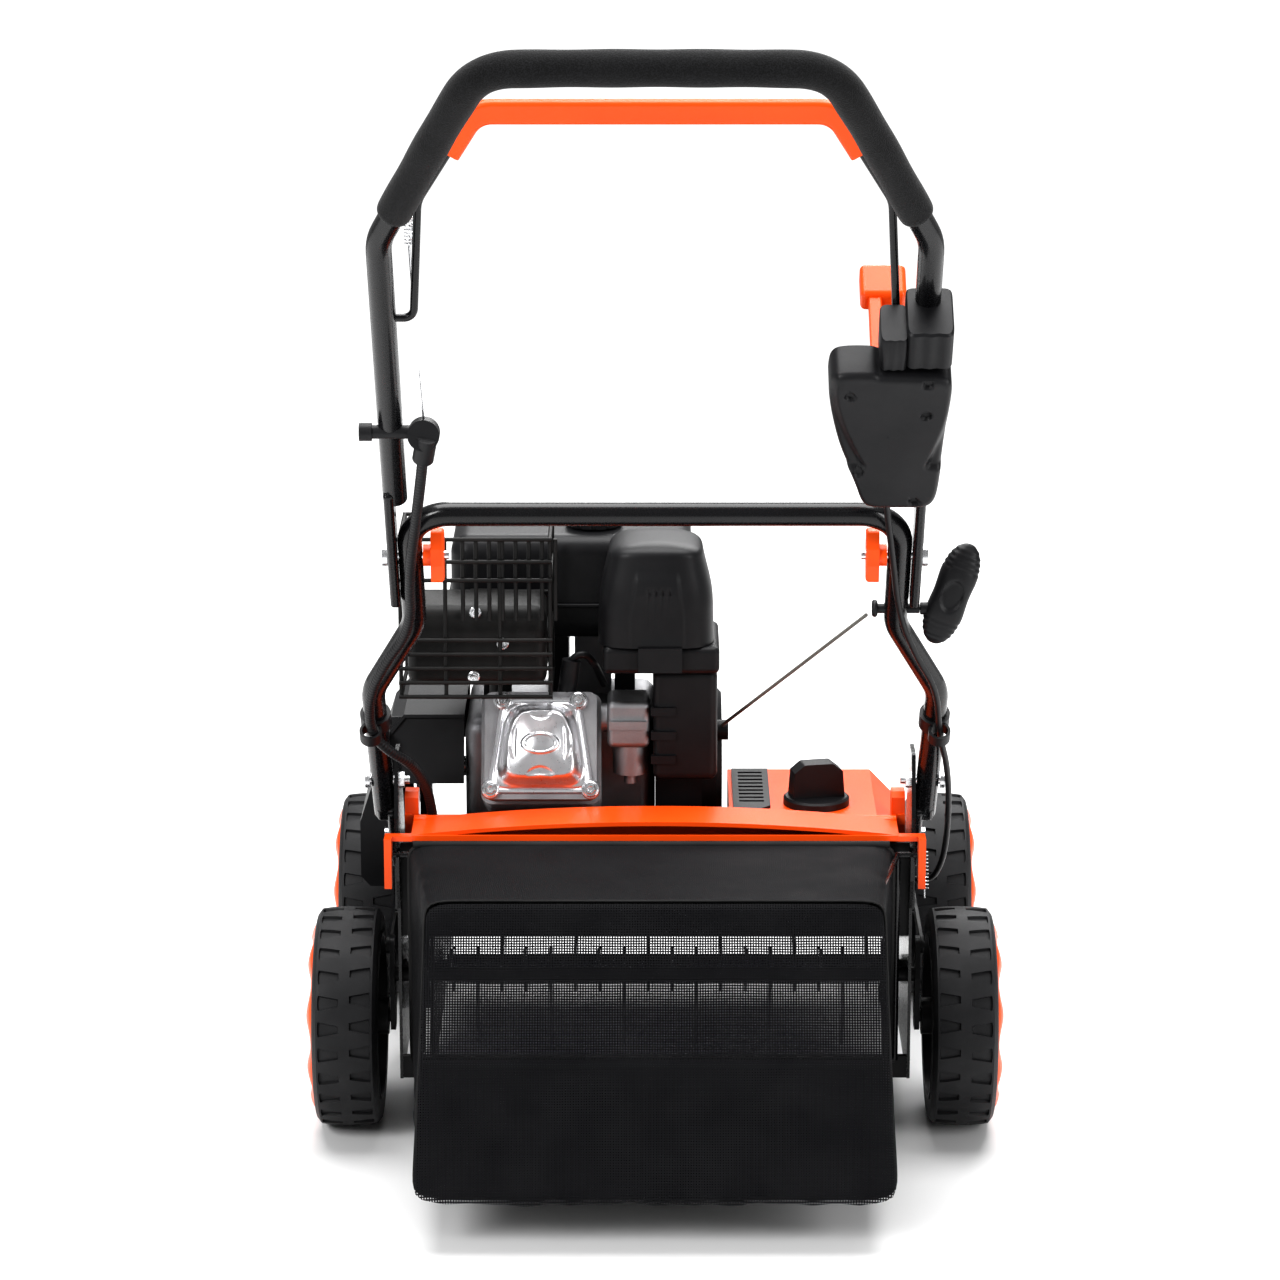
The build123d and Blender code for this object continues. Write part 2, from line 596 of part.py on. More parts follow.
def blower_housing():
    """Fan housing on the engine's right side with the recoil starter's round cover."""
    shell = rod_x(0.2, 46, CRANK_Y, CRANK_Z, 96)
    shell += box(0.2, 46, 125, CRANK_Y, CRANK_Z, 386)
    cover = rod_x(46, 66, CRANK_Y, CRANK_Z, 80)
    cover = chamfer(cover.edges().sort_by(Axis.X)[-1:], 6)
    shell += cover
    for step in range(10):
        angle = radians(36 * step)
        y, z = CRANK_Y + 58 * cos(angle), CRANK_Z + 58 * sin(angle)
        shell -= rod_x(60, 67, y, z, 8)
    shell += rod_x(46, 72, CRANK_Y - 64, CRANK_Z + 56, 10)
    return shell - box(-1, 80, 60, 400, 150, 199.5)


def starter_rope():
    """Taut rope from the recoil cover to the guide on the handle."""
    return tube([(66, CRANK_Y - 72, CRANK_Z + 63), (194, GUIDE_Y + 9, GUIDE_Z - 8.5)], 0, 1.75)


def rope_guide():
    """Eyelet and hollow stud through the handle tube; the grip parks on its outer end."""
    stud = rod_x(200, GUIDE_END_X, GUIDE_Y, GUIDE_Z, 4.5)
    eye = Pos(201, GUIDE_Y, GUIDE_Z) * Rot(0, 90, 0) * Torus(5.5, 2.6)
    return stud + eye - rod_x(190, 250, GUIDE_Y, GUIDE_Z, 2.3)


def starter_grip():
    """Oval pull grip with end ribs, a middle boss and the rope's tail."""
    profile = [
        (0, -50), (12, -50), (19, -40), (19, 40), (12, 50), (-12, 50), (-19, 40), (-19, -40), (-12, -50),
    ]
    face = fillet(make_face(Polyline(*profile[1:], close=True)).vertices(), 6)
    grip = extrude(Plane.XZ * face, 13, both=True)
    grip = fillet(grip.edges(), 4)
    boss = Pos(0, 0, 4) * Rot(90, 0, 0) * Cylinder(15, 32)
    grip = Pos(GRIP_X, GUIDE_Y, GUIDE_Z + 14) * Rot(0, 20, 0) * (grip + boss)
    collar = rod_x(GUIDE_END_X + GAP, 262, GUIDE_Y, GUIDE_Z, 6)
    tail = rod_x(215, 262, GUIDE_Y, GUIDE_Z, 1.75)
    return grip + collar + tail


# ---- handle -----------------------------------------------------------------------------
def lower_handle_points():
    leg = [(260.2, 66, 290.5), (264, -40, 442), (LOWER_LEG_X, -96, 521.9), (LOWER_LEG_X, -182, 644.7)]
    other = [(-x, y, z) for x, y, z in reversed(leg)]
    return leg + other


def handle_lower():
    """One bent tube: two legs with an inward jog and the cross bar; pressed lower ends."""
    points = lower_handle_points()
    radii = [60, 60, 38, 38, 60, 60]
    frame = tube(points, radii, TUBE_R, TUBE_WALL)
    for side in SIDES.values():
        flat = leg_block(249.2, 258.2, -450, -366, -13, 13, 4)
        collar = leg_block(249.2, 268, -380, -362, -11, 11, 4)
        pressed = flat + collar
        for y, z in HANDLE_BOLTS:
            pressed -= rod_x(240, 280, y, z, 4)
        frame += mirrored(pressed, side)
        frame -= mirrored(rod_x(180, 260, FOLD_Y, FOLD_Z, 4), side)
        frame -= mirrored(rod_x(240, 280, *HANDLE_BOLTS[0], 4), side)
    return frame - rod_x(180, 260, GUIDE_Y, GUIDE_Z, 4.5)


def joint_bolts():
    """Bolts through brackets and legs, and the two carriage bolts of the fold."""
    bolts = []
    for side in SIDES.values():
        for (y, z), face in zip(HANDLE_BOLTS, [273.0, 258.3]):
            inner = 235 if z > 300 else 246
            bolt = rod_x(inner, face + 1, y, z, 4) + rod_x(face, face + 4.5, y, z, 8)
            if z > 300:
                nut = Pos(240, y, z) * Rot(0, 90, 0) * extrude(RegularPolygon(8, 6), 4.9)
                bolt += nut
            bolts.append(mirrored(bolt, side))
        pin = rod_x(186, 244, FOLD_Y, FOLD_Z, 4) + rod_x(241.2, 246, FOLD_Y, FOLD_Z, 10)
        bolts.append(mirrored(pin, side))
    return bolts


def wing_knob(side):
    """Moulded wing nut on the inner end of the fold bolt."""
    corners = [(-24, -8), (-24, 8), (-8, 12), (8, 12), (24, 8), (24, -8), (8, -12), (-8, -12)]
    outline = make_face(Polyline(*corners, close=True))
    outline = fillet(outline.vertices(), 4)
    wings = extrude(Plane(origin=(190, FOLD_Y, FOLD_Z), x_dir=(0, 0, 1), z_dir=(1, 0, 0)) * outline, 12)
    wings = chamfer(wings.edges().group_by(Axis.X)[0], 2)
    hub = rod_x(201, 209, FOLD_Y, FOLD_Z, 10)
    knob = wings + hub - rod_x(185, 215, FOLD_Y, FOLD_Z, 4 + RUNNING)
    return mirrored(knob, side)


def cable_clips():
    """Snap clips round the lower legs, each with a ring that holds its cable."""
    clips = []
    for side in SIDES.values():
        plane = Plane(origin=leg_point(263.1, CLIP_UP), z_dir=(3.8, -106, 151.5))
        ring = Plane(origin=leg_point(267, CLIP_UP, CLIP_FRONT), z_dir=LEG_UP)
        clip = extrude(plane * Circle(TUBE_R + 3.5), 8, both=True)
        clip += extrude(ring * Circle(10.5), 6, both=True)
        clip -= extrude(ring * Circle(8), 12, both=True)
        clip -= extrude(plane * Circle(TUBE_R + 0.1), 12, both=True)
        clips.append(mirrored(clip, side))
    for index, (route, radius) in enumerate([(clutch_route(), 5.2), (lift_route(), 3.2)]):
        clips[index] -= tube(route, cord_radii(route), radius)
    return clips


CLIP_UP, CLIP_FRONT = -234.0, -19.5


def upper_handle_points():
    leg = [
        leg_point(UPPER_LEG_X, 78), (UPPER_LEG_X, -379, 926), (143, -526.5, 1089.5),
    ]
    leg = [(p[0], p[1], p[2]) for p in [tuple(point) for point in leg]]
    other = [(-x, y, z) for x, y, z in reversed(leg)]
    return leg + other


UPPER_RADII = [70, 62, 62, 70]


def handle_upper():
    """Upper handle: one bent tube with pressed lower ends that sit outside the lower legs."""
    frame = tube(upper_handle_points(), UPPER_RADII, TUBE_R, TUBE_WALL)
    for side in SIDES.values():
        flat = leg_block(FLAT_IN, FLAT_OUT, -60, 92, -13, 13, 3)
        bolt_hole = rod_x(220, 250, FOLD_Y, FOLD_Z, 4 + RUNNING)
        pin = leg_point(0, BAIL_S)
        pin_hole = rod_x(215, 228, pin.Y, pin.Z, BAIL_ROD_R + RUNNING)
        frame += mirrored(flat, side)
        frame -= mirrored(bolt_hole + pin_hole, side)
    return frame


def foam_grip():
    """Foam sleeve over the loop of the upper handle."""
    bend, corner = Vector(UPPER_LEG_X, -379, 926), Vector(143, -526.5, 1089.5)
    start = bend + (corner - bend).normalized() * 37
    points = [tuple(start), tuple(corner), (-corner.X, corner.Y, corner.Z), (-start.X, start.Y, start.Z)]
    path = FilletPolyline(*points, radius=UPPER_RADII[1])
    section = Plane(origin=path @ 0, z_dir=path % 0) * (Circle(15.25) - Circle(TUBE_R))
    return sweep(section, path=path)


def control_box():
    """Moulded lever box under the right leg, with its clamp neck and lever bosses."""
    outline = [(287, 150), (287, 251), (150, 252), (120, 246), (120, 190), (150, 178), (235, 147), (268, 146)]
    face = make_face(Polyline(*outline, close=True))
    face = fillet(face.vertices(), 7)
    plane = Plane(origin=leg_point(0, 0, -11.4), x_dir=LEG_UP, z_dir=LEG_FRONT * -1)
    flip = 1 if plane.y_dir.X > 0 else -1
    face = face if flip > 0 else mirror(face, about=Plane.XZ)
    shell = extrude(plane * face, 40)
    shell = fillet(shell.faces().sort_by(Axis(leg_point(0, 0), LEG_FRONT))[0].edges(), 5)
    inner = offset(face, amount=-3)
    shell -= extrude(plane.offset(3) * inner, 34)
    neck = leg_block(212, 252, 286, 330, -44, 15, 5) + leg_block(194, 214, 286, 326, -40, 8, 3)
    shell += neck
    leg_hole = Plane(origin=leg_point(UPPER_LEG_X, 200), z_dir=LEG_UP) * Cylinder(TUBE_R + 0.02, 400)
    shell -= leg_hole
    shell -= leg_block(200, 214.5, 292, 340, -50, 20)
    shell -= rod_x(213, 224, leg_point(0, BAIL_S).Y, leg_point(0, BAIL_S).Z, BAIL_ROD_R + 0.5)
    shell -= leg_block(LEVER_X - 10, LEVER_X + 11, 188, 280, -20, 0)
    pivot = leg_point(0, LEVER_S, LEVER_OFF)
    for x0, x1 in [(LEVER_X - 24, LEVER_X - 14), (LEVER_X + 14, LEVER_X + 24)]:
        boss = rod_x(x0, x1, pivot.Y, pivot.Z, 7)
        boss += leg_block(x0, x1, LEVER_S - 5, LEVER_S + 5, LEVER_OFF - 24, LEVER_OFF)
        shell += boss - rod_x(x0 - 1, x1 + 1, pivot.Y, pivot.Z, 3 + RUNNING)
    for up, x in [(262, 164), (276, 229), (238, 229), (168, 185), (132, 232)]:
        hole = Plane(origin=leg_point(x, up, -52), z_dir=LEG_FRONT) * Cylinder(4.5, 4)
        shell -= hole
    return shell


def lift_lever():
    """Orange lever: hub on its own pin, flat stem and a T-shaped finger grip."""
    pivot = leg_point(0, LEVER_S, LEVER_OFF)
    lever = rod_x(LEVER_X - 23, LEVER_X + 23, pivot.Y, pivot.Z, 3)
    lever += rod_x(LEVER_X - 7, LEVER_X + 8, pivot.Y, pivot.Z, 9)
    lever += leg_block(LEVER_X - 5, LEVER_X + 6, LEVER_S - 8, LEVER_S + 6, LEVER_OFF, 66, 1.5)
    lever += leg_block(LEVER_X - 12, LEVER_X + 28, LEVER_S - 12, LEVER_S + 10, 62, 100, 5)
    return lever


def cable_anchor():
    """Round end stop of the clutch cable, clamped to the left upper leg."""
    at = ANCHOR
    boss = Pos(*at) * Rot(90, 0, 0) * Cylinder(14, 16)
    arm = rod_x(-256, at[0] - 8, at[1] + 4, at[2] + 1, 6)
    leg = Plane(origin=leg_point(-UPPER_LEG_X, 200), z_dir=LEG_UP) * Cylinder(TUBE_R + 0.05, 400)
    nut = rod_x(-258, -247, at[1] + 4, at[2] + 1, 8)
    collar = tube([(-198.3, -262, 733), (-203, -247.5, 709.7)], 0, 9.5)
    return boss + (arm + nut) - leg + collar


ANCHOR = (-201.5, -257.0, 734.0)


def clutch_route():
    """From the anchor's collar, under the left leg, through its clip to the cover strip."""
    under = [
        (-221.5, 0, -22), (-221.5, -76, -21), (-250, -130, -21), (-266, -178, -20.5),
        (-267, CLIP_UP, CLIP_FRONT),
    ]
    points = [leg_point(*place) for place in under]
    return [
        *CLUTCH_START, *[(p.X, p.Y, p.Z) for p in points], (-250, -22, 376), (-232, -4, 360),
        (-221, 22, 335), (-216, 40, 311), (-214, 47, COVER_Z + 2),
    ]


CLUTCH_START = [(-203.1, -247.1, 709.2), (-209, -219, 664)]


def lift_route():
    """From the lever box, under the right leg, through its clip to the link's stop."""
    under = [
        (203, 104, -22), (213, 20, -21), (222, -60, -21), (240, -118, -21), (262, -168, -20.5),
        (267, CLIP_UP, CLIP_FRONT),
    ]
    points = [leg_point(*place) for place in under]
    return [
        *[(p.X, p.Y, p.Z) for p in points], (279, 12, 350), (284, 64, 284), (282, 104, 226),
        (269, 126, 197), (248.5, 142, 199),
    ]


def bail_points():
    """Half of the bail's rod, from the pin in the leg to the grip's end."""
    pivot = leg_point(0, BAIL_S)
    up = Vector(0, -0.254, 0.967)
    knee, corner = pivot + up * 108, pivot + up * 189
    return [
        (227, pivot.Y, pivot.Z), (BAIL_X, pivot.Y, pivot.Z), (BAIL_X - 6, knee.Y, knee.Z),
        (150, corner.Y, corner.Z),
    ]


def bail_path():
    half = bail_points()
    radii = [9, 30, 26]
    points = half + [(-x, y, z) for x, y, z in reversed(half)]
    return points, radii + radii[::-1]


def bail_frame():
    """Sprung rod bail: pins, arms and the bar inside the grip."""
    points, radii = bail_path()
    return tube(points, radii, BAIL_ROD_R)


def bail_grip():
    """Orange two-lipped grip moulded round the bail's bar and its slanting corners."""
    pivot = leg_point(0, BAIL_S)
    up = Vector(0, -0.254, 0.967)
    low, corner = pivot + up * 152, pivot + up * 189
    x_low = 199 - (199 - 150) * (152 - 108) / (189 - 108)
    points = [(x_low, low.Y, low.Z), (150, corner.Y, corner.Z)]
    points += [(-x, y, z) for x, y, z in reversed(points)]
    path = FilletPolyline(*points, radius=26)
    start = Plane(origin=path @ 0, z_dir=path % 0, x_dir=(0, 0.967, 0.254))
    section = fillet(Rectangle(12, 21).vertices(), 4) - Circle(BAIL_ROD_R)
    return sweep(start * section, path=path)


# ---- bag --------------------------------------------------------------------------------
BAG_WALL = 3.0
BAG_MOUTH_X, BAG_BACK_X = 237.0, 208.0
BAG_MOUTH_Y, BAG_MOUTH_LOW, BAG_MOUTH_HIGH = -26.0, 64.0, 286.0
BAG_TOP = (-226.0, 296.0)                   # rear top edge, as (Y, Z)
BAG_FLOOR = (-345.0, 50.0)                  # rear bottom edge


def bag_body(grow):
    """Tapered bag solid; `grow` is negative for the hollow inside it."""
    side_view = make_face(Polyline(
        (BAG_MOUTH_Y, BAG_MOUTH_LOW), (BAG_MOUTH_Y, BAG_MOUTH_HIGH), BAG_TOP, BAG_FLOOR, close=True))
    if grow:
        side_view = offset(side_view, amount=grow, kind=Kind.INTERSECTION)
    body = extrude(Plane.YZ * side_view, amount=BAG_MOUTH_X + grow, both=True)
    mouth, back = BAG_MOUTH_X + grow, BAG_BACK_X + grow
    near, far = BAG_MOUTH_Y, BAG_FLOOR[0]
    top_view = make_face(Polyline((-mouth, near), (mouth, near), (back, far), (-back, far), close=True))
    return body & extrude(top_view, amount=BAG_TOP[1] + 20)


def bag_fabric():
    """Mesh bag: thin walls, open at the mouth."""
    outer = bag_body(0)
    outer = fillet(outer.edges().sort_by(Axis.Y)[:8], 8)
    bag = outer - bag_body(-BAG_WALL)
    bag -= box(-BAG_MOUTH_X + 3, BAG_MOUTH_X - 3, -40, -20, BAG_MOUTH_LOW + 3, BAG_MOUTH_HIGH - 3)
    return largest(bag - rod_x(-250, 250, HOOK_Y, HOOK_Z, 3.4))


def bag_frame():
    """Wire frame of the mouth, side rails along the bag and the two hanging pegs."""
    wire = 3.0
    inset = BAG_WALL + wire + GAP
    x, low = BAG_MOUTH_X - inset - 1, BAG_MOUTH_LOW + inset
    back_x, back_y, back_z = BAG_BACK_X - 12, BAG_TOP[0] + 14, BAG_TOP[1] - 12
    frame = rod_x(-x, x, HOOK_Y, low, wire) + rod_x(-PLATE_OUT - 3, PLATE_OUT + 3, HOOK_Y, HOOK_Z, wire)
    for side in SIDES.values():
        post = Pos(x, HOOK_Y, (low + HOOK_Z) / 2) * Cylinder(wire, HOOK_Z - low)
        rail = tube([(x, HOOK_Y, HOOK_Z), (back_x, back_y, back_z)], 0, wire)
        frame += mirrored(post + rail, side)
    return frame + rod_x(-back_x, back_x, back_y, back_z, wire)


# ---- all nodes ----------------------------------------------------------------------------
def main():
    os.makedirs("parts", exist_ok=True)
    for axle, y in AXLES.items():
        save(f"axle_{axle}", cranked_axle(y))
        for name, side in SIDES.items():
            save(f"tyre_{axle}_{name}", tyre(side, y))
            save(f"rim_{axle}_{name}", rim(side, y))
    save("link_rods", *link_rods())
    save("deck_chamber", deck_chamber())
    for name, side in SIDES.items():
        save(f"side_plate_{name}", side_plate(side))
        save(f"handle_bracket_{name}", handle_bracket(side))
        save(f"wing_knob_{name}", wing_knob(side))
    save("belt_cover", belt_cover())
    save("top_cover", top_cover())
    save("vent_insert", vent_insert())
    save("depth_dial", depth_dial())
    save("rear_flap", rear_flap())
    save("rotor_shaft", rotor_shaft())
    save("rotor_blades", *rotor_blades())
    save("rotor_pulley", pulley(ROTOR_Y, ROTOR_Z, ROTOR_PULLEY_R, ROTOR_JOURNAL_R))
    save("crankshaft", rod_x(-240, -151, CRANK_Y, CRANK_Z, 10))
    save("drive_pulley", pulley(CRANK_Y, CRANK_Z, CRANK_PULLEY_R, 10))
    save("belt", belt())
    save("idler_arm", idler_arm())
    save("idler_pulley", idler_pulley())
    save("engine_block", engine_block())
    save("valve_cover", valve_cover())
    save("engine_screws", *engine_screws())
    save("muffler", muffler())
    save("muffler_guard", muffler_guard())
    save("air_cleaner_cover", air_cleaner_cover())
    save("air_cleaner_base", air_cleaner_base())
    save("carburettor", carburettor())
    save("plug_lead", plug_lead())
    save("fuel_tank", fuel_tank())
    save("fuel_cap", fuel_cap())
    save("blower_housing", blower_housing())
    save("starter_rope", starter_rope())
    save("rope_guide", rope_guide())
    save("starter_grip", starter_grip())
    save("handle_lower", handle_lower())
    save("joint_bolts", *joint_bolts())
    save("cable_clips", *cable_clips())
    save("handle_upper", handle_upper())
    save("foam_grip", foam_grip())
    save("control_box", control_box())
    save("lift_lever", lift_lever())
    save("cable_anchor", cable_anchor())
    save("clutch_cable", cable("clutch cable", clutch_route(), 5))
    save("lift_cable", cable("lift cable", lift_route(), 3))
    save("bail_frame", bail_frame())
    save("bail_grip", bail_grip())
    save("bag_fabric", bag_fabric())
    save("bag_frame", bag_frame())


if __name__ == "__main__":
    main()
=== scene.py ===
"""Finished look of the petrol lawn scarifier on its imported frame. Metres, +Z up, +Y forward."""
import json
from math import cos, exp, pi, radians, sin, tau

import bmesh
import bpy
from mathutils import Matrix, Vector


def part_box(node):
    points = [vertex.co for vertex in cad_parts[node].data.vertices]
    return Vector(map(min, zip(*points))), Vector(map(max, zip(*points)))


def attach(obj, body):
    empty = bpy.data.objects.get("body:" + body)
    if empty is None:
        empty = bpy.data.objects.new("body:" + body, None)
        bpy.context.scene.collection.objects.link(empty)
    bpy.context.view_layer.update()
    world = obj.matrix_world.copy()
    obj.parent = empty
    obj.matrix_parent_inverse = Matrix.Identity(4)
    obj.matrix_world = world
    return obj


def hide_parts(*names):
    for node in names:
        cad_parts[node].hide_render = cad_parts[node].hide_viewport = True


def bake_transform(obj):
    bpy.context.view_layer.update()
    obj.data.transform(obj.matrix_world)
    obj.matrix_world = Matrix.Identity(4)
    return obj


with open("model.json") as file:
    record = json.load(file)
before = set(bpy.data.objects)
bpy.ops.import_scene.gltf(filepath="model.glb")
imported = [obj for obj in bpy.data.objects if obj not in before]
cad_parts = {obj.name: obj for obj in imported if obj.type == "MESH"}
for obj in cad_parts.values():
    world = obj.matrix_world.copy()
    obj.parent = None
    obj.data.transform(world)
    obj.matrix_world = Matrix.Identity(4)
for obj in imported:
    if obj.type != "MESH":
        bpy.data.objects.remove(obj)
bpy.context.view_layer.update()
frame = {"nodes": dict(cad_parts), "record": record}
MM = 0.001


# ---- places ---------------------------------------------------------------------------
def middle(node):
    """Middle of a CAD node's box."""
    low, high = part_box(node)
    return (low + high) / 2


REAR_AXLE_Y = middle("tyre_rear_left").y
WHEEL_R = (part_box("tyre_rear_left")[1].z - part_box("tyre_rear_left")[0].z) / 2
LEG_LEAN = radians(55)       # slope of the handle's legs
LEG_UP = Vector((0, -cos(LEG_LEAN), sin(LEG_LEAN)))
LEG_FRONT = Vector((0, sin(LEG_LEAN), cos(LEG_LEAN)))


def at(x, y, z):
    """A place in millimetres from the rear axle line at ground level."""
    return Vector((x * MM, y * MM + REAR_AXLE_Y, z * MM))


FOLD = at(0, -150, 599)      # where the upper handle folds


def on_leg(x, up, front=0.0):
    """A place from the fold axis: along the handle leg and in front of it, in millimetres."""
    return Vector((x * MM, 0, 0)) + FOLD + LEG_UP * up * MM + LEG_FRONT * front * MM


# ---- materials ------------------------------------------------------------------------
def new_material(name):
    material = bpy.data.materials.new(name)
    material.use_nodes = True
    return material, material.node_tree, material.node_tree.nodes["Principled BSDF"]


def noise(tree, scale, detail=4.0, stretch=(1, 1, 1)):
    """Noise in the object's own metres; `stretch` squeezes it along an axis, as brushing does."""
    place = tree.nodes.new("ShaderNodeTexCoord")
    mapping = tree.nodes.new("ShaderNodeMapping")
    mapping.inputs["Scale"].default_value = stretch
    texture = tree.nodes.new("ShaderNodeTexNoise")
    texture.inputs["Scale"].default_value = scale
    texture.inputs["Detail"].default_value = detail
    tree.links.new(place.outputs["Object"], mapping.inputs["Vector"])
    tree.links.new(mapping.outputs["Vector"], texture.inputs["Vector"])
    return texture.outputs["Fac"]


def spread(tree, value, low, high, start=0.3, end=0.7):
    """Stretches a noise value between two amounts."""
    node = tree.nodes.new("ShaderNodeMapRange")
    node.inputs["From Min"].default_value = start
    node.inputs["From Max"].default_value = end
    node.inputs["To Min"].default_value = low
    node.inputs["To Max"].default_value = high
    tree.links.new(value, node.inputs["Value"])
    return node.outputs["Result"]


def two_tones(tree, value, dark, light):
    """Runs a noise value from one colour to another."""
    ramp = tree.nodes.new("ShaderNodeValToRGB")
    ramp.color_ramp.elements[0].position = 0.3
    ramp.color_ramp.elements[1].position = 0.7
    ramp.color_ramp.elements[0].color = (*dark, 1)
    ramp.color_ramp.elements[1].color = (*light, 1)
    tree.links.new(value, ramp.inputs["Fac"])
    return ramp.outputs["Color"]


def bump(tree, value, distance, below=None):
    """Relief of a height value, on top of the relief given as `below`."""
    node = tree.nodes.new("ShaderNodeBump")
    node.inputs["Strength"].default_value = 1.0
    node.inputs["Distance"].default_value = distance
    tree.links.new(value, node.inputs["Height"])
    if below:
        tree.links.new(below, node.inputs["Normal"])
    return node.outputs["Normal"]


def surface(name, dark, light, rough, grain, depth, metallic=0.0, coat=0.0, coat_rough=0.1,
            mottle=14.0, stretch=(1, 1, 1)):
    """Base finish: two close tones, uneven gloss, and fine and broad relief."""
    material, tree, shader = new_material(name)
    broad = noise(tree, mottle, 5)
    fine = noise(tree, grain, 3, stretch)
    tree.links.new(two_tones(tree, broad, dark, light), shader.inputs["Base Color"])
    tree.links.new(spread(tree, fine, rough[0], rough[1]), shader.inputs["Roughness"])
    tree.links.new(bump(tree, fine, depth, bump(tree, broad, depth * 2)), shader.inputs["Normal"])
    shader.inputs["Metallic"].default_value = metallic
    shader.inputs["Coat Weight"].default_value = coat
    shader.inputs["Coat Roughness"].default_value = coat_rough
    shader.inputs["Specular IOR Level"].default_value = 0.24
    return material


def black_paint():
    return surface("gloss black paint", (0.003, 0.003, 0.0035), (0.006, 0.006, 0.007),
                   (0.22, 0.3), 420, 3e-5, coat=0.25, coat_rough=0.06)


def satin_black_paint():
    return surface("satin black paint", (0.004, 0.004, 0.005), (0.009, 0.009, 0.01),
                   (0.36, 0.48), 900, 5e-5)


def dark_pressing():
    return surface("heat-proof black", (0.004, 0.004, 0.004), (0.011, 0.0105, 0.01),
                   (0.42, 0.6), 1300, 7e-5)


def silver_pressing():
    return surface("bright pressed steel", (0.66, 0.66, 0.68), (0.78, 0.78, 0.8),
                   (0.27, 0.34), 500, 4e-6, metallic=1.0, mottle=40)


def cast_alloy():
    return surface("cast alloy", (0.2, 0.2, 0.21), (0.36, 0.36, 0.37),
                   (0.4, 0.6), 1500, 1.6e-4, metallic=1.0)


def zinc():
    return surface("bright zinc", (0.55, 0.56, 0.58), (0.78, 0.78, 0.79),
                   (0.18, 0.34), 700, 4e-5, metallic=1.0, mottle=60)


def blade_steel():
    return surface("ground spring steel", (0.3, 0.3, 0.31), (0.5, 0.5, 0.52),
                   (0.24, 0.42), 500, 4e-5, metallic=1.0, stretch=(1, 6, 1))


def orange_plastic():
    return surface("orange moulding", (0.76, 0.07, 0.004), (0.88, 0.09, 0.006),
                   (0.28, 0.4), 1600, 3e-5, coat=0.1, coat_rough=0.2, mottle=7)


def black_plastic():
    return surface("black moulding", (0.005, 0.005, 0.006), (0.01, 0.01, 0.011),
                   (0.38, 0.5), 1900, 5e-5, mottle=22)


def tyre_rubber():
    return surface("tyre rubber", (0.008, 0.008, 0.009), (0.017, 0.017, 0.018),
                   (0.46, 0.62), 1100, 8e-5, mottle=30)


def belt_rubber():
    return surface("belt rubber", (0.01, 0.01, 0.01), (0.02, 0.02, 0.02),
                   (0.7, 0.85), 1400, 9e-5)


def cable_sheath():
    return surface("cable sheath", (0.006, 0.006, 0.007), (0.012, 0.012, 0.013),
                   (0.34, 0.48), 1200, 4e-5)


def seam_binding():
    return surface("seam binding", (0.008, 0.008, 0.008), (0.018, 0.018, 0.018),
                   (0.6, 0.8), 2200, 1.5e-4)


def foam_rubber():
    """Matt closed-cell foam with open pores at its skin; the pores carry painted shade."""
    material, tree, shader = new_material("foam rubber")
    place = tree.nodes.new("ShaderNodeTexCoord")
    cells = tree.nodes.new("ShaderNodeTexVoronoi")
    cells.inputs["Scale"].default_value = 900
    shader.inputs["Specular IOR Level"].default_value = 0.15
    tree.links.new(place.outputs["Object"], cells.inputs["Vector"])
    cell = cells.outputs["Distance"]
    # Painted shade: the base colour is darker in the pores and lighter on the skin between them.
    tree.links.new(two_tones(tree, cell, (0.003, 0.003, 0.003), (0.011, 0.011, 0.012)),
                   shader.inputs["Base Color"])
    tree.links.new(spread(tree, noise(tree, 40), 0.84, 0.96), shader.inputs["Roughness"])
    tree.links.new(bump(tree, cell, 3e-4), shader.inputs["Normal"])
    shader.inputs["Sheen Weight"].default_value = 0.12
    return material


def braided_rope():
    """Diagonal strands crossing both ways on a cord whose run is its UV length, with painted shade in the
    hollows between the strands.
    """
    material, tree, shader = new_material("braided rope")
    place = tree.nodes.new("ShaderNodeTexCoord")
    heights = []
    for turn in (0.7, -0.7):
        mapping = tree.nodes.new("ShaderNodeMapping")
        mapping.inputs["Rotation"].default_value = (0, 0, turn)
        wave = tree.nodes.new("ShaderNodeTexWave")
        wave.inputs["Scale"].default_value = 240
        tree.links.new(place.outputs["UV"], mapping.inputs["Vector"])
        tree.links.new(mapping.outputs["Vector"], wave.inputs["Vector"])
        heights.append(wave.outputs["Fac"])
    both = tree.nodes.new("ShaderNodeMath")
    both.operation = "MAXIMUM"
    tree.links.new(heights[0], both.inputs[0])
    tree.links.new(heights[1], both.inputs[1])
    height = both.outputs[0]
    # Painted shade: the base colour is pale on the strands and dark in the hollows between them, following
    # the relief height.
    tree.links.new(two_tones(tree, height, (0.03, 0.03, 0.028), (0.2, 0.2, 0.18)),
                   shader.inputs["Base Color"])
    tree.links.new(bump(tree, height, 2e-4), shader.inputs["Normal"])
    tree.links.new(spread(tree, noise(tree, 300), 0.7, 0.9), shader.inputs["Roughness"])
    return material


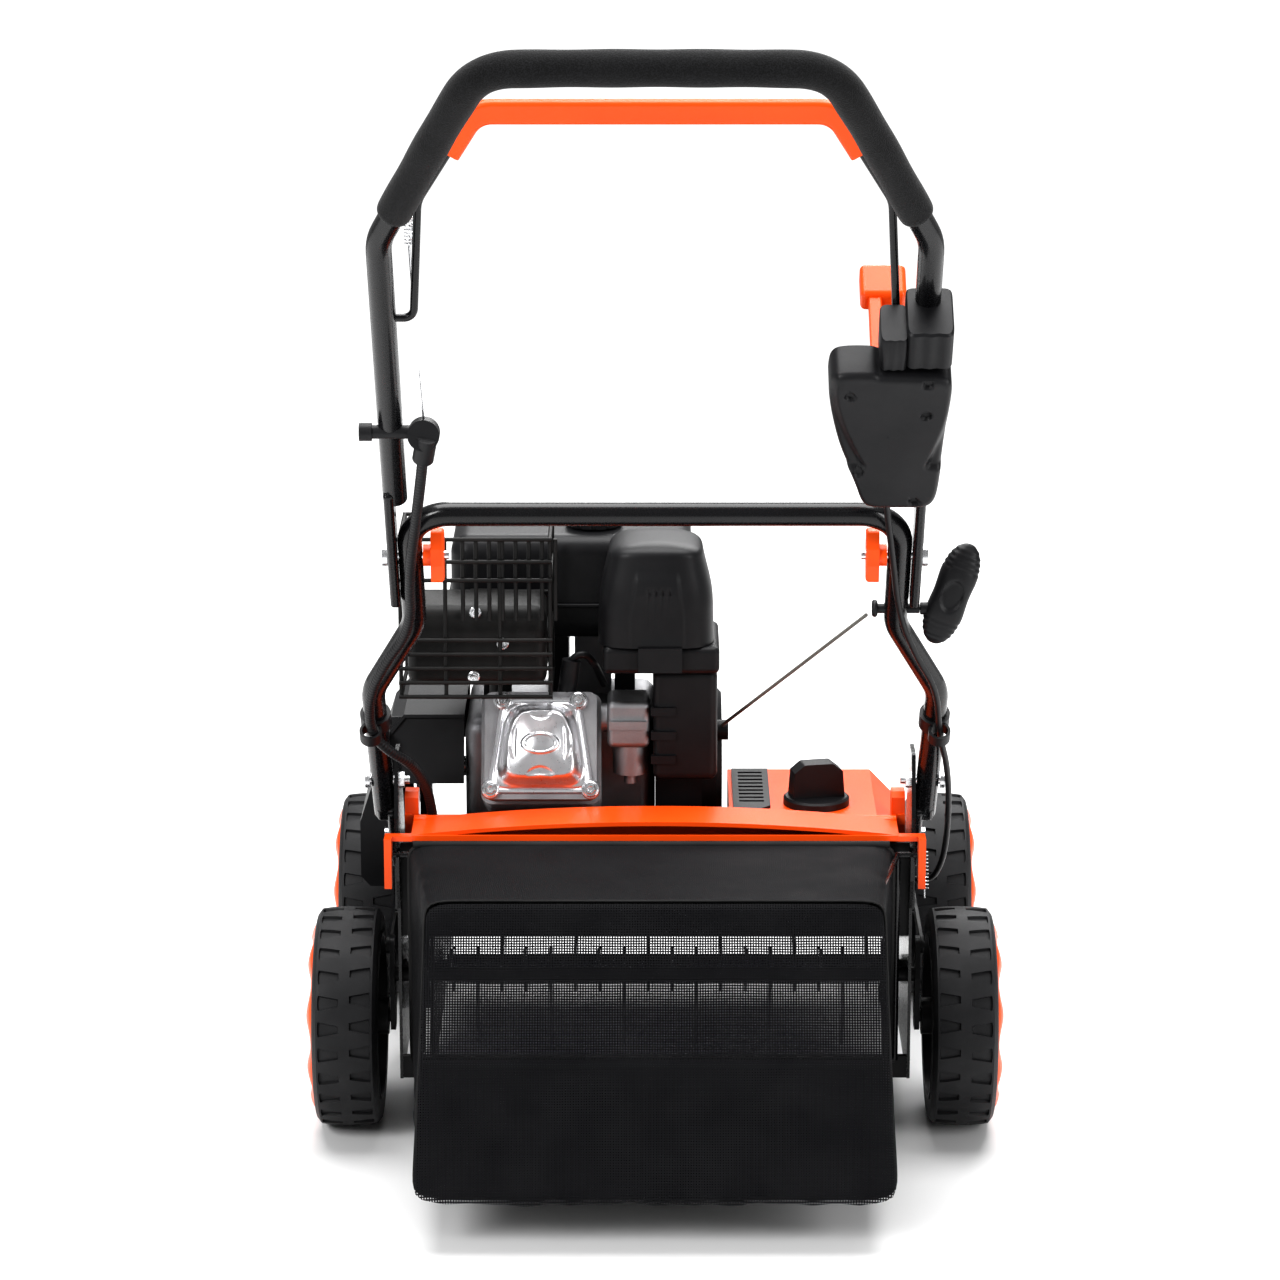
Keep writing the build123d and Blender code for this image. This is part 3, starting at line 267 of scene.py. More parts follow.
def woven_mesh(name, open_share, pitch=2.4e-3):
    """Weave of round threads each way, on UVs in metres; `open_share` of it is holes."""
    material, tree, shader = new_material(name)
    place = tree.nodes.new("ShaderNodeTexCoord")
    split = tree.nodes.new("ShaderNodeSeparateXYZ")
    tree.links.new(place.outputs["UV"], split.inputs["Vector"])
    hole = tree.nodes.new("ShaderNodeMath")
    hole.operation = "MINIMUM"
    for index, axis in enumerate("XY"):
        scaled = tree.nodes.new("ShaderNodeMath")
        scaled.operation = "MULTIPLY"
        scaled.inputs[1].default_value = pi / pitch
        wave = tree.nodes.new("ShaderNodeMath")
        wave.operation = "SINE"
        size = tree.nodes.new("ShaderNodeMath")
        size.operation = "ABSOLUTE"
        tree.links.new(split.outputs[axis], scaled.inputs[0])
        tree.links.new(scaled.outputs[0], wave.inputs[0])
        tree.links.new(wave.outputs[0], size.inputs[0])
        tree.links.new(size.outputs[0], hole.inputs[index])
    if open_share:
        edge = cos(pi * open_share ** 0.5 / 2)
        solid = spread(tree, hole.outputs[0], 1, 0, edge - 0.05, edge + 0.05)
        tree.links.new(solid, shader.inputs["Alpha"])
    tone = noise(tree, 25)
    tree.links.new(two_tones(tree, tone, (0.005, 0.005, 0.006), (0.01, 0.01, 0.011)),
                   shader.inputs["Base Color"])
    tree.links.new(spread(tree, tone, 0.6, 0.8), shader.inputs["Roughness"])
    tree.links.new(bump(tree, hole.outputs[0], -2e-4), shader.inputs["Normal"])
    shader.inputs["Specular IOR Level"].default_value = 0.06
    shader.inputs["Sheen Weight"].default_value = 0.02
    return material


MATERIALS = {
    "black_paint": black_paint(), "satin_black_paint": satin_black_paint(),
    "silver_pressing": silver_pressing(), "cast_alloy": cast_alloy(), "zinc": zinc(),
    "blade_steel": blade_steel(), "orange_plastic": orange_plastic(),
    "black_plastic": black_plastic(), "tyre_rubber": tyre_rubber(), "foam": foam_rubber(),
    "belt_rubber": belt_rubber(), "cable_sheath": cable_sheath(), "rope": braided_rope(),
    "mesh_fabric": woven_mesh("woven mesh", 0.2),
}
HEAT_PROOF = dark_pressing()
SIDE_MESH = woven_mesh("close woven mesh", 0.0, 2.0e-3)
BINDING = seam_binding()


def dress_cad_nodes():
    """Gives every CAD node the finish of the material slot that its record names."""
    for row in frame["record"]["subparts"]:
        node = frame["nodes"][row["node"]]
        finish = MATERIALS[row["material_slot"]]
        if row["node"] in ("muffler", "muffler_guard"):
            finish = HEAT_PROOF
        if not node.material_slots:
            node.data.materials.append(finish)
        for slot in node.material_slots:
            slot.material = finish


# ---- mesh helpers ---------------------------------------------------------------------
def make_piece(name, points, faces, slot, body=None, sharp=35.0, material=None, uvs=None):
    """A smooth-shaded mesh with the finish of its slot, riding on `body` unless it is None."""
    mesh = bpy.data.meshes.new(name)
    mesh.from_pydata([tuple(p) for p in points], [], faces)
    mesh.update()
    if uvs:
        layer = mesh.uv_layers.new(name="UVMap")
        for loop in mesh.loops:
            layer.data[loop.index].uv = uvs[loop.vertex_index]
    builder = bmesh.new()
    builder.from_mesh(mesh)
    if not uvs:
        bmesh.ops.recalc_face_normals(builder, faces=builder.faces)
    builder.to_mesh(mesh)
    builder.free()
    mesh.shade_smooth()
    mesh.set_sharp_from_angle(angle=radians(sharp))
    piece = bpy.data.objects.new(name, mesh)
    bpy.context.scene.collection.objects.link(piece)
    mesh.materials.append(material or MATERIALS[slot])
    if body:
        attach(piece, body)
    return piece


def grid_faces(rows, columns, close_columns=True):
    """Quads between neighbouring rings of a grid of points."""
    faces = []
    for i in range(rows - 1):
        for j in range(columns if close_columns else columns - 1):
            here, after = i * columns, (i + 1) * columns
            beside = (j + 1) % columns
            faces.append((here + j, here + beside, after + beside, after + j))
    return faces


def end_caps(rows, columns):
    """One face across the first ring of a grid of points, and one across the last."""
    last = (rows - 1) * columns
    return [tuple(range(columns))[::-1], tuple(range(last, last + columns))]


def merged(name, parts, slot, body, material=None, sharp=35.0):
    """One piece out of several (points, faces) lists."""
    points, faces = [], []
    for more_points, more_faces in parts:
        start = len(points)
        points += more_points
        faces += [tuple(start + i for i in face) for face in more_faces]
    return make_piece(name, points, faces, slot, body, sharp, material)


def turned(profile, centre, axis, segments=48):
    """(along, radius) outline turned about an axis through `centre`; open ends are capped."""
    axis = Vector(axis).normalized()
    side = axis.orthogonal().normalized()
    other = axis.cross(side)
    points = []
    for along, radius in profile:
        for k in range(segments):
            turn = tau * k / segments
            points.append(centre + axis * along + (side * cos(turn) + other * sin(turn)) * radius)
    return points, grid_faces(len(profile), segments) + end_caps(len(profile), segments)


def smooth_route(points, steps=14):
    """Points along a NURBS spline whose control points are the route's."""
    curve = bpy.data.curves.new("route", "CURVE")
    curve.dimensions = "3D"
    curve.resolution_u = steps
    spline = curve.splines.new("NURBS")
    spline.points.add(len(points) - 1)
    for place, point in zip(spline.points, points):
        place.co = (*point, 1)
    spline.order_u = 3
    spline.use_endpoint_u = True
    guide = bpy.data.objects.new("route", curve)
    mesh = bpy.data.meshes.new_from_object(guide)
    line = [v.co.copy() for v in mesh.vertices]
    bpy.data.objects.remove(guide)
    bpy.data.curves.remove(curve)
    bpy.data.meshes.remove(mesh)
    return line


def even_steps(line, step):
    """The same line with its points a fixed distance apart."""
    spans = [(b - a).length for a, b in zip(line, line[1:])]
    count = max(2, round(sum(spans) / step))
    out, index, passed = [], 0, 0.0
    for k in range(count + 1):
        want = sum(spans) * k / count
        while index < len(spans) - 1 and passed + spans[index] < want:
            passed += spans[index]
            index += 1
        share = (want - passed) / spans[index] if spans[index] else 0
        out.append(line[index].lerp(line[index + 1], min(1, share)))
    return out


def hose(line, radius, sides=14):
    """Tube round a line; `radius` is a number or a function of the length so far, in metres."""
    size = radius if callable(radius) else (lambda length: radius)
    points, uvs = [], []
    side = (line[1] - line[0]).orthogonal().normalized()
    length = 0.0
    for index, here in enumerate(line):
        before, after = line[max(0, index - 1)], line[min(len(line) - 1, index + 1)]
        along = (after - before).normalized()
        side = (side - along * side.dot(along)).normalized()
        other = along.cross(side)
        if index:
            length += (here - line[index - 1]).length
        for k in range(sides):
            turn = tau * k / sides
            points.append(here + (side * cos(turn) + other * sin(turn)) * size(length))
            uvs.append((length, size(length) * turn))
    return points, grid_faces(len(line), sides) + end_caps(len(line), sides), uvs


def helix(start, end, radius, turns, per_turn=14):
    """Points of a coil between two places."""
    axis = end - start
    side = axis.orthogonal().normalized()
    other = axis.normalized().cross(side)
    line = []
    for k in range(turns * per_turn + 1):
        turn = tau * k / per_turn
        share = k / (turns * per_turn)
        line.append(start + axis * share + (side * cos(turn) + other * sin(turn)) * radius)
    return line


# ---- wheels ---------------------------------------------------------------------------
LUGS = 26
GROOVE_DEPTH = 2.6 * MM
CROWN_DROP = 2.6 * MM        # how much lower the tread is at its edges than at its middle
CENTRE_BAND = 5.5 * MM       # half width of the plain band between the two rows of grooves
SHOULDER_BAND = 6.5 * MM     # width of the plain band at each edge of the tread
GROOVE_SHARE = 0.22          # share of a lug's pitch that a groove takes at the centre band
BEAD_ROWS = 5                # rings of the profile on each side that belong to the side wall


def tread_radius(along, half):
    return WHEEL_R - CROWN_DROP * abs(along / half) ** 2.4


def tyre_profile(half):
    """(along, radius) of the smooth tyre, from its inner bead over the crown to its outer bead."""
    corner = WHEEL_R - 4.4 * MM
    tread = [(-half + 2.5 * MM, corner)]
    steps = 18
    for k in range(steps + 1):
        along = (-1 + 2 * k / steps) * (half - 4.5 * MM)
        tread.append((along, tread_radius(along, half)))
    tread.append((half - 2.5 * MM, corner))
    inner = [(-half + 2 * MM, 0.080), (-half, 0.088), (-half, 0.094), (-half + 0.6 * MM, 0.098)]
    outer = [
        (half - 0.6 * MM, 0.098), (half, 0.0955), (half - 1 * MM, 0.0935), (half - 5 * MM, 0.0925),
    ]
    return inner + tread + outer


def tyre_rows(half):
    """The profile, with two rings close together at each edge of the grooved bands."""
    profile = tyre_profile(half)
    edges = []
    for place in (CENTRE_BAND, half - SHOULDER_BAND):
        for sign in (-1, 1):
            for nudge in (-0.35 * MM, 0.35 * MM):
                along = sign * place + nudge
                edges.append((along, tread_radius(along, half)))
    tread = sorted(profile[BEAD_ROWS:-BEAD_ROWS] + edges)
    return profile[:BEAD_ROWS] + tread + profile[-BEAD_ROWS:]


def groove_reach(along, half):
    """Share of a lug's pitch that the groove takes at this place across the tread, or none."""
    inner_end, outer_end = CENTRE_BAND, half - SHOULDER_BAND
    if not inner_end <= abs(along) <= outer_end:
        return 0.0
    share = (abs(along) - inner_end) / (outer_end - inner_end)
    return GROOVE_SHARE + 0.30 * share


def tyre(node):
    """Crowned tyre with a row of wedge grooves on each side of its centre band."""
    low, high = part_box(node)
    centre, half = (low + high) / 2, (high.x - low.x) / 2
    out = 1 if centre.x > 0 else -1
    rows = tyre_rows(half)
    points = []
    for along, radius in rows:
        on_tread = abs(along) < half - 4 * MM
        reach = groove_reach(along, half) if on_tread else 0.0
        edge = (reach or GROOVE_SHARE) / 2
        shift = 0.0 if along < 0 else 0.12
        for lug in range(LUGS):
            for share in (-0.5, -(edge + 0.03), -edge, 0.0, edge, edge + 0.03):
                depth = GROOVE_DEPTH if reach and abs(share) <= edge else 0.0
                turn = tau * (lug + share + shift) / LUGS
                r = radius - depth
                points.append(centre + Vector((along * out, r * cos(turn), r * sin(turn))))
    faces = grid_faces(len(rows), LUGS * 6)
    piece = make_piece(node.replace("tyre", "treaded_tyre"), points, faces, "tyre_rubber",
                       node.replace("tyre", "wheel"), sharp=28)
    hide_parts(node)


def rim_profile(inner, face, tyre_edge):
    """(distance from the machine's middle, radius) from the hub's inner end to its face."""
    return [
        (inner, 0.009), (inner, 0.018), (inner + 0.040, 0.018), (inner + 0.040, 0.074),
        (inner + 0.006, 0.077), (inner + 0.006, 0.080), (tyre_edge - 0.0058, 0.080),
        (tyre_edge - 0.0056, 0.092), (tyre_edge - 0.002, 0.092), (tyre_edge + 0.0005, 0.0905),
        (face - 0.003, 0.087), (face - 0.001, 0.082), (face, 0.077), (face - 0.001, 0.070),
        (face - 0.004, 0.063), (face - 0.007, 0.056), (face - 0.008, 0.046), (face - 0.007, 0.036),
        (face - 0.004, 0.027), (face - 0.001, 0.023), (face - 0.0005, 0.020), (face - 0.001, 0.014),
        (face - 0.003, 0.010), (face - 0.004, 0.0),
    ]


def wheel_rim(node):
    """Dished orange rim whose outer face swells into lobes round its edge."""
    low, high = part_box(node)
    centre = (low + high) / 2
    out = 1 if centre.x > 0 else -1
    inner, face = sorted((abs(low.x), abs(high.x)))
    tyre_edge = max(abs(corner.x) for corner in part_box(node.replace("rim", "tyre")))
    profile = rim_profile(inner, face, tyre_edge)
    lobes, segments = 9, 144
    points = []
    for along, radius in profile:
        lobed = exp(-((radius - 0.074) / 0.015) ** 2) if along > tyre_edge else 0.0
        for k in range(segments):
            turn = tau * k / segments
            wave = 0.5 - 0.5 * cos(lobes * turn)
            middle_line = Vector((out * (along - 0.0042 * lobed * wave), centre.y, centre.z))
            reach = max(radius, 0.0005) * (1 + 0.010 * lobed * wave)
            points.append(middle_line + Vector((0, cos(turn), sin(turn))) * reach)
    faces = grid_faces(len(profile), segments)
    piece = make_piece(node.replace("rim", "lobed_rim"), points, faces, "orange_plastic",
                       node.replace("rim", "wheel"), sharp=40)
    piece.data.materials.append(MATERIALS["black_plastic"])
    for polygon in piece.data.polygons:
        if abs(polygon.center.x) < tyre_edge - 0.0055:
            polygon.material_index = 1
    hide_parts(node)
    cap = Vector((out * (face - 0.0035), centre.y, centre.z))
    outline = [(0, 0.009), (0.002, 0.009), (0.0022, 0.0065), (0.0033, 0.006)]
    bolt = turned(outline, cap, (out, 0, 0), 36)
    merged(node.replace("rim", "hub_bolt"), [bolt], "zinc", node.replace("rim", "wheel"))


# ---- grass bag ------------------------------------------------------------------------
BAG_FRONT_Y = -38.0          # the mouth
BAG_MOUTH_TOP, BAG_MOUTH_BOTTOM = 289.5, 66.0
BAG_TOP, BAG_FLOOR = (-222.0, 293.0), (-342.0, 52.0)     # (y, z) of the rear panel's ends
BAG_FLARE = 9.0              # how much wider the rear panel is at its hem than at its top
BAG_TUCK = 7.0               # how far the right side is drawn in at the mouth
BAG_ROUND = 8.0              # radius where the rear panel meets the others, millimetres
SLEEVE_END = 1 - BAG_ROUND / 250
BAG_REAR_OUT = Vector((0, -0.896, 0.446))
SEAM_TURN = 0.01             # keeps a ring's first point off the middle of the side


def bag_station(t):
    """Half width, bottom and top line of the bag at a share t of its length from the mouth."""
    mouth_bottom = Vector((BAG_FRONT_Y, BAG_MOUTH_BOTTOM))
    mouth_top = Vector((BAG_FRONT_Y, BAG_MOUTH_TOP))
    bottom = mouth_bottom + (Vector(BAG_FLOOR) - mouth_bottom) * t
    top = mouth_top + (Vector(BAG_TOP) - mouth_top) * t
    return 232 - 24 * t, bottom, top


def bag_half(t, rise, sign):
    """Half width at a share `rise` of the height; the right side is drawn in at the mouth."""
    half = bag_station(t)[0] + BAG_FLARE * t * (1 - rise)
    return half - (BAG_TUCK * (1 - t) if sign > 0 else 0)


def ripple(a, b, seed):
    """Slow uneven wave, from -1 to 1, for cloth that isn't quite flat."""
    return (sin(3.1 * a + 1.7 * b + seed) + sin(5.3 * a - 2.3 * b + 2 * seed) + sin(1.3 * a + 6.1 * b)) / 3


def bag_place(t, a, rise):
    """A place on the bag: share t from mouth to rear, a from -1 to 1 across, rise from 0 to 1."""
    bottom, top = bag_station(t)[1:]
    side = 1 if a > 0 else -1
    line = bottom.lerp(top, rise)
    slack = sin(pi * min(t, 1.0))
    hollow = 10 * slack * sin(pi * rise) * abs(a) ** 8
    wave = 1.8 * ripple(6 * t, 5 * rise + 2 * a, side) * slack
    sag = 6.5 * (1 - rise) ** 6 - 3.0 * rise ** 6
    droop = -slack * (1 - abs(a) ** 4) * abs(sag) * (1 if rise < 0.5 else 0.8)
    hem = -2.4 * (1 - rise) ** 3 * (1 + ripple(7 * a, 0.0, 1.0)) * t ** 6 * (1 - abs(a) ** 8)
    x = a * bag_half(t, rise, side) - side * (hollow + wave)
    return at(x, line.x, line.y + droop + hem)


def bag_ring(turn):
    """Across and rise of a rounded square section at one direction."""
    u, v = cos(turn), sin(turn)
    reach = (abs(u) ** 26 + abs(v) ** 26) ** (-1 / 26)
    return u * reach, 0.5 + 0.5 * v * reach


def bag_body():
    """Sides, top and bottom of the bag as one sleeve of close mesh."""
    rows, segments = 46, 200
    points, uvs = [], []
    for i in range(rows + 1):
        t = SLEEVE_END * i / rows
        around, last = 0.0, None
        for k in range(segments + 1):
            place = bag_place(t, *bag_ring(tau * k / segments + SEAM_TURN))
            around += (place - last).length if last else 0.0
            last = place
            points.append(place)
            uvs.append((around, t * 0.26))
    return points, grid_faces(rows + 1, segments + 1, close_columns=False), uvs


def bag_rear():
    """Rear panel: rolls over from the sleeve, then lies nearly flat with a slight belly."""
    segments, roll, rings = 200, 8, 36
    half, bottom, top = bag_station(1)
    tall = (top - bottom).length
    points, uvs = [], []
    for i in range(roll + rings + 1):
        if i <= roll:
            bend = pi / 2 * i / roll
            inset, back = BAG_ROUND * (1 - cos(bend)), BAG_ROUND * (1 - sin(bend))
            narrow, low = 1 - inset / half, 1 - 2 * inset / tall
        else:
            share, back = (i - roll) / rings, 0.0
            narrow = (1 - BAG_ROUND / half) * (1 - share)
            low = (1 - 2 * BAG_ROUND / tall) * (1 - share)
        for k in range(segments):
            a, rise = bag_ring(tau * k / segments + SEAM_TURN)
            a, rise = a * narrow, 0.5 + (rise - 0.5) * low
            place = bag_place(1.0, a, rise)
            belly = 3.2 * (1 - a ** 4) * (1 - (2 * rise - 1) ** 4) * (0.3 + ripple(3 * a, 3 * rise, 0.6))
            points.append(place + BAG_REAR_OUT * (belly - back) * MM)
            uvs.append((place.x, place.z * 1.12))
    return points, grid_faces(roll + rings + 1, segments), uvs


def bag_panel(name, data, material):
    points, faces, uvs = data
    return make_piece(name, points, faces, "mesh_fabric", "bag", 70, material, uvs)


def bag():
    """A sleeve of close mesh, an open-mesh rear panel, and bound seams at the mouth and rear."""
    rear = bag_panel("bag_rear_mesh", bag_rear(), MATERIALS["mesh_fabric"])
    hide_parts("bag_fabric")
    bag_panel("bag_sleeve_mesh", bag_body(), SIDE_MESH)
    loops = []
    for t, thick in ((0.0, 2.6), (SLEEVE_END, 0.9)):
        line = [bag_place(t, *bag_ring(tau * k / 240)) for k in range(241)]
        loops.append(hose(line, thick * MM, 8)[:2])
    roll = [bag_place(0.0, -0.985 + 1.97 * k / 90, 1.0) for k in range(91)]
    loops.append(hose(roll, 3.4 * MM, 12)[:2])
    merged("bag_bound_seams", loops, "mesh_fabric", "bag", BINDING)


# ---- cables ---------------------------------------------------------------------------
def ribbed(radius, pitch, depth):
    """Radius of a corrugated sleeve at each place along it."""
    return lambda length: radius - depth * (0.5 - 0.5 * cos(tau * length / pitch))


def across_fold(piece):
    """Bakes the piece's placement into its mesh; it rides on no body, so it does not fold with the handle.
    """
    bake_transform(piece)


def cable_piece(name, points, node, radius, rib=None):
    """Sheathed cable along its route; `rib` is the pitch of a corrugated sleeve."""
    line = even_steps(smooth_route(points), 0.9 * MM if rib else 3 * MM)
    shape = ribbed(radius, rib, 0.45 * MM) if rib else radius
    shell, faces = hose(line, shape, 16)[:2]
    piece = make_piece(name, shell, faces, "cable_sheath", None, 60)
    across_fold(piece)
    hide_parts(node)


def clutch_points():
    """From the anchor's collar, under the left leg, through its clip to the cover strip."""
    under = [
        (-221.5, 0, -22), (-221.5, -76, -21), (-250, -130, -21), (-266, -178, -20.5),
        (-267, -234, -19.5),
    ]
    lower = [(-250, -22, 376), (-232, -4, 360), (-221, 22, 335), (-216, 40, 311), (-214, 47, 291)]
    upper = [(-203.1, -247.1, 709.2), (-209, -219, 664)]
    return [at(*p) for p in upper] + [on_leg(*p) for p in under] + [at(*p) for p in lower]


def lift_points():
    """From the lever box, under the right leg, through its clip to the link's stop."""
    under = [
        (203, 104, -22), (213, 20, -21), (222, -60, -21), (240, -118, -21), (262, -168, -20.5),
        (267, -234, -19.5),
    ]
    lower = [(279, 12, 350), (284, 64, 284), (282, 104, 226), (269, 126, 197), (248.5, 142, 199)]
    return [on_leg(*p) for p in under] + [at(*p) for p in lower]


def bail_wire():
    """Thin inner wire from the bail's hook down to the anchor, with its small hook spring."""
    hook, foot = on_leg(-205, 306, -4), at(-201.5, -257, 748)
    coil_top, coil_end = hook + Vector((-3 * MM, 0, 90 * MM)), hook + Vector((-3 * MM, 0, 66 * MM))
    spring = hose(helix(coil_end, coil_top, 3.6 * MM, 8), 0.8 * MM, 6)[:2]
    route = smooth_route([coil_end, hook.lerp(foot, 0.3), hook.lerp(foot, 0.7), foot])
    wire = hose(even_steps(route, 4 * MM), 1.0 * MM, 8)[:2]
    piece = merged("bail_inner_wire", [spring, wire], "zinc", None)
    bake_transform(piece)


# ---- engine details -------------------------------------------------------------------
COVER_AXIS = Vector((0, -0.92, 0.3919))
COVER_UP = Vector((0, 0.3919, 0.92))
COVER_LOBES = [(-48, -43), (48, -43), (36, 43), (-36, 43)]
COVER_WIDE_HOLLOWS = [(27, 12, 4.5, -1), (-26, 16, 5, 1)]    # up, half sizes, curl
COVER_TALL_HOLLOWS = [(-27, 4.5, 18, -1), (27, 4.5, 18, 1)]  # across, half sizes, curl


def cover_base():
    """Middle of the rocker cover's flange, on the CAD solid's lowest face along the cylinder."""
    vertices = [v.co for v in frame["nodes"]["valve_cover"].data.vertices]
    inner = min(co.dot(COVER_AXIS) for co in vertices)
    ups = [co.dot(COVER_UP) for co in vertices if co.dot(COVER_AXIS) < inner + 0.5 * MM]
    across = Vector((middle("valve_cover").x, 0, 0))
    return across + COVER_AXIS * inner + COVER_UP * (min(ups) + max(ups)) / 2


COVER_BASE = cover_base()


def cover_place(u, v, height):
    """A place on the rocker cover: across, up its face, and out along the cylinder."""
    return COVER_BASE + Vector((u * MM, 0, 0)) + COVER_UP * v * MM + COVER_AXIS * height * MM


def cover_edge(turn):
    """Distance from the rocker cover's middle to its outline in one direction, in millimetres."""
    return 1 / outline_share(cos(turn), sin(turn), 10)


def smoothstep(low, high, value):
    share = max(0.0, min(1.0, (value - low) / (high - low)))
    return share * share * (3 - 2 * share)


def outline_share(u, v, power):
    """0 in the middle of the rocker cover and 1 on its outline; a low power rounds the corners."""
    slope = (52 - 38) / 94
    across, up = max(abs(u) + slope * v, 0) / 45, abs(v) / 47
    return (across ** power + up ** power) ** (1 / power)


def cover_height(u, v):
    """Height of the pressing at a place on the rocker cover, in millimetres."""
    flange = (1 - outline_share(u, v, 10)) * 46
    pan = (1 - outline_share(u, v, 4.5)) * 46
    height = 4.0 * smoothstep(0, 1.2, flange) - 1.1 * exp(-((flange - 5.0) / 0.9) ** 2)
    height += 12.5 * smoothstep(5.5, 17, pan) + 5.0 * smoothstep(14, 44, pan)
    oval = (u / 17) ** 2 + (v / 9.5) ** 2
    height += 1.4 * smoothstep(1.3, 1.0, oval) - 1.0 * smoothstep(0.8, 0.62, oval)
    for middle_up, half_across, half_up, curl in COVER_WIDE_HOLLOWS:
        across, up = u / half_across, (v - middle_up + curl * 0.022 * u * u) / half_up
        height -= 1.3 * smoothstep(1.0, 0.2, across * across + up * up)
    for middle_across, half_across, half_up, curl in COVER_TALL_HOLLOWS:
        across, up = (u - middle_across + curl * 0.012 * v * v) / half_across, (v - 1) / half_up
        height -= 1.3 * smoothstep(1.0, 0.2, across * across + up * up)
    return height


def valve_cover():
    """Pressed rocker cover: grooved flange, domed pan, four hollows and a plain oval boss."""
    rings, segments = 72, 288
    points = []
    for i in range(rings + 1):
        share = i / rings
        for k in range(segments):
            turn = tau * k / segments
            edge = cover_edge(turn)
            u, v = edge * (1 - share) * cos(turn), edge * (1 - share) * sin(turn)
            points.append(cover_place(u, v, cover_height(u, v)))
    faces = grid_faces(rings + 1, segments)
    skirt = len(points)
    for k in range(segments):
        turn = tau * k / segments
        edge = cover_edge(turn)
        points.append(cover_place(edge * cos(turn), edge * sin(turn), -0.05))
    for k in range(segments):
        faces.append((skirt + k, skirt + (k + 1) % segments, (k + 1) % segments, k))
    parts = [(points, faces)]
    lobe = [(0, 9.2 * MM), (3.2 * MM, 9.2 * MM), (4.2 * MM, 8.4 * MM), (4.2 * MM, 0.1 * MM)]
    for u, v in COVER_LOBES:
        parts.append(turned(lobe, cover_place(u, v, 0), COVER_AXIS, 40))
    piece = merged("pressed_valve_cover", parts, "silver_pressing", "machine", sharp=40)
    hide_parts("valve_cover")


def flange_bolt(centre, axis, size):
    """Hexagon head on its washer, with a pressed hollow in the top; `size` is across corners."""
    washer = [(0, 0.72), (0.12, 0.72), (0.2, 0.6)]
    head = [(0.15, 0.5), (0.52, 0.5), (0.6, 0.44), (0.6, 0.26), (0.5, 0.2)]
    parts = []
    for outline, sides in ((washer, 32), (head, 6)):
        sized = [(size * along, size * radius) for along, radius in outline]
        parts.append(turned(sized, centre, axis, sides))
    return parts


def engine_bolts():
    """Bolts of the rocker cover and the silencer."""
    parts = []
    for u, v in COVER_LOBES:
        parts += flange_bolt(cover_place(u, v, 4.2), COVER_AXIS, 11 * MM)
    for x, z in [(-172, 487), (-146, 456), (-174, 423)]:
        parts += flange_bolt(at(x, 74, z), (0, -1, 0), 8 * MM)
    piece = merged("flange_bolts", parts, "zinc", "machine", sharp=25)
    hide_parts("engine_screws")


def foam_sleeve():
    """Foam grip with rolled ends and slightly uneven thickness."""
    bend, corner = at(231, -379, 926), at(143, -526.5, 1089.5)
    start = bend + (corner - bend).normalized() * 37 * MM
    radius = 15.1 * MM

    def flip(p):
        return Vector((-p.x, p.y, p.z))

    near = corner.lerp(start, 0.34)
    far = corner.lerp(flip(corner), 0.215)
    crest = corner.lerp(start, 0.02).lerp(corner.lerp(far, 0.1), 0.5)
    points = [start, start.lerp(near, 0.5), near, crest, far]
    points += [flip(p) for p in reversed(points)]
    line = even_steps(smooth_route(points), 3 * MM)
    total = sum((b - a).length for a, b in zip(line, line[1:]))

    def size(length):
        end = min(length, total - length)
        return radius - 3.2 * MM * exp(-end / (1.4 * MM)) + 0.25 * MM * sin(length * 90)

    shell, faces = hose(line, size, 32)[:2]
    piece = make_piece("foam_sleeve", shell, faces, "foam", "upper_handle", 60)
    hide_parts("foam_grip")


GRIP_LEAN = radians(20)
GRIP_MIDDLE = at(271, -107, 552)
GRIP_OUT = Vector((cos(GRIP_LEAN), 0, -sin(GRIP_LEAN)))
GRIP_UP = Vector((sin(GRIP_LEAN), 0, cos(GRIP_LEAN)))
ROPE_RADIUS = 1.75 * MM


def grip_place(across, depth, along):
    """A place on the pull grip, whose long axis leans outwards."""
    return GRIP_MIDDLE + GRIP_OUT * across * MM + GRIP_UP * along * MM + Vector((0, depth * MM, 0))


def pull_grip():
    """Oval grip ribbed across its ends, with a dished middle facing the operator."""
    rows, segments = 96, 64
    points = []
    for i in range(rows + 1):
        s = -cos(pi * i / rows)
        full = max(1e-3, 1 - abs(s) ** 3.2) ** 0.5
        rib = 1 - 0.055 * (0.5 + 0.5 * cos(s * 50 / 5.2 * tau)) * smoothstep(0.42, 0.5, abs(s))
        waist = 1 - 0.10 * exp(-(s / 0.35) ** 2)
        for k in range(segments):
            turn = tau * k / segments
            u, d = cos(turn), sin(turn)
            shape = (abs(u) ** 2.6 + abs(d) ** 2.6) ** (-1 / 2.6)
            across = 18.6 * full * rib * waist * u * shape
            depth = 12.8 * full * rib * d * shape
            dish = 3.0 * smoothstep(1.0, 0.5, (across / 11) ** 2 + (s * 50 / 17) ** 2)
            points.append(grip_place(across, depth + (dish if depth < 0 else -dish), s * 49.5))
    faces = grid_faces(rows + 1, segments)
    neck = [(0, 4.2 * MM), (0.4 * MM, 5.8 * MM), (14 * MM, 5.8 * MM), (19 * MM, 7.5 * MM)]
    collar = turned(neck, at(242.5, -107, 538), (1, 0, 0), 32)
    piece = merged("ribbed_pull_grip", [(points, faces), collar], "black_plastic", "pull_grip")
    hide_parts("starter_grip")


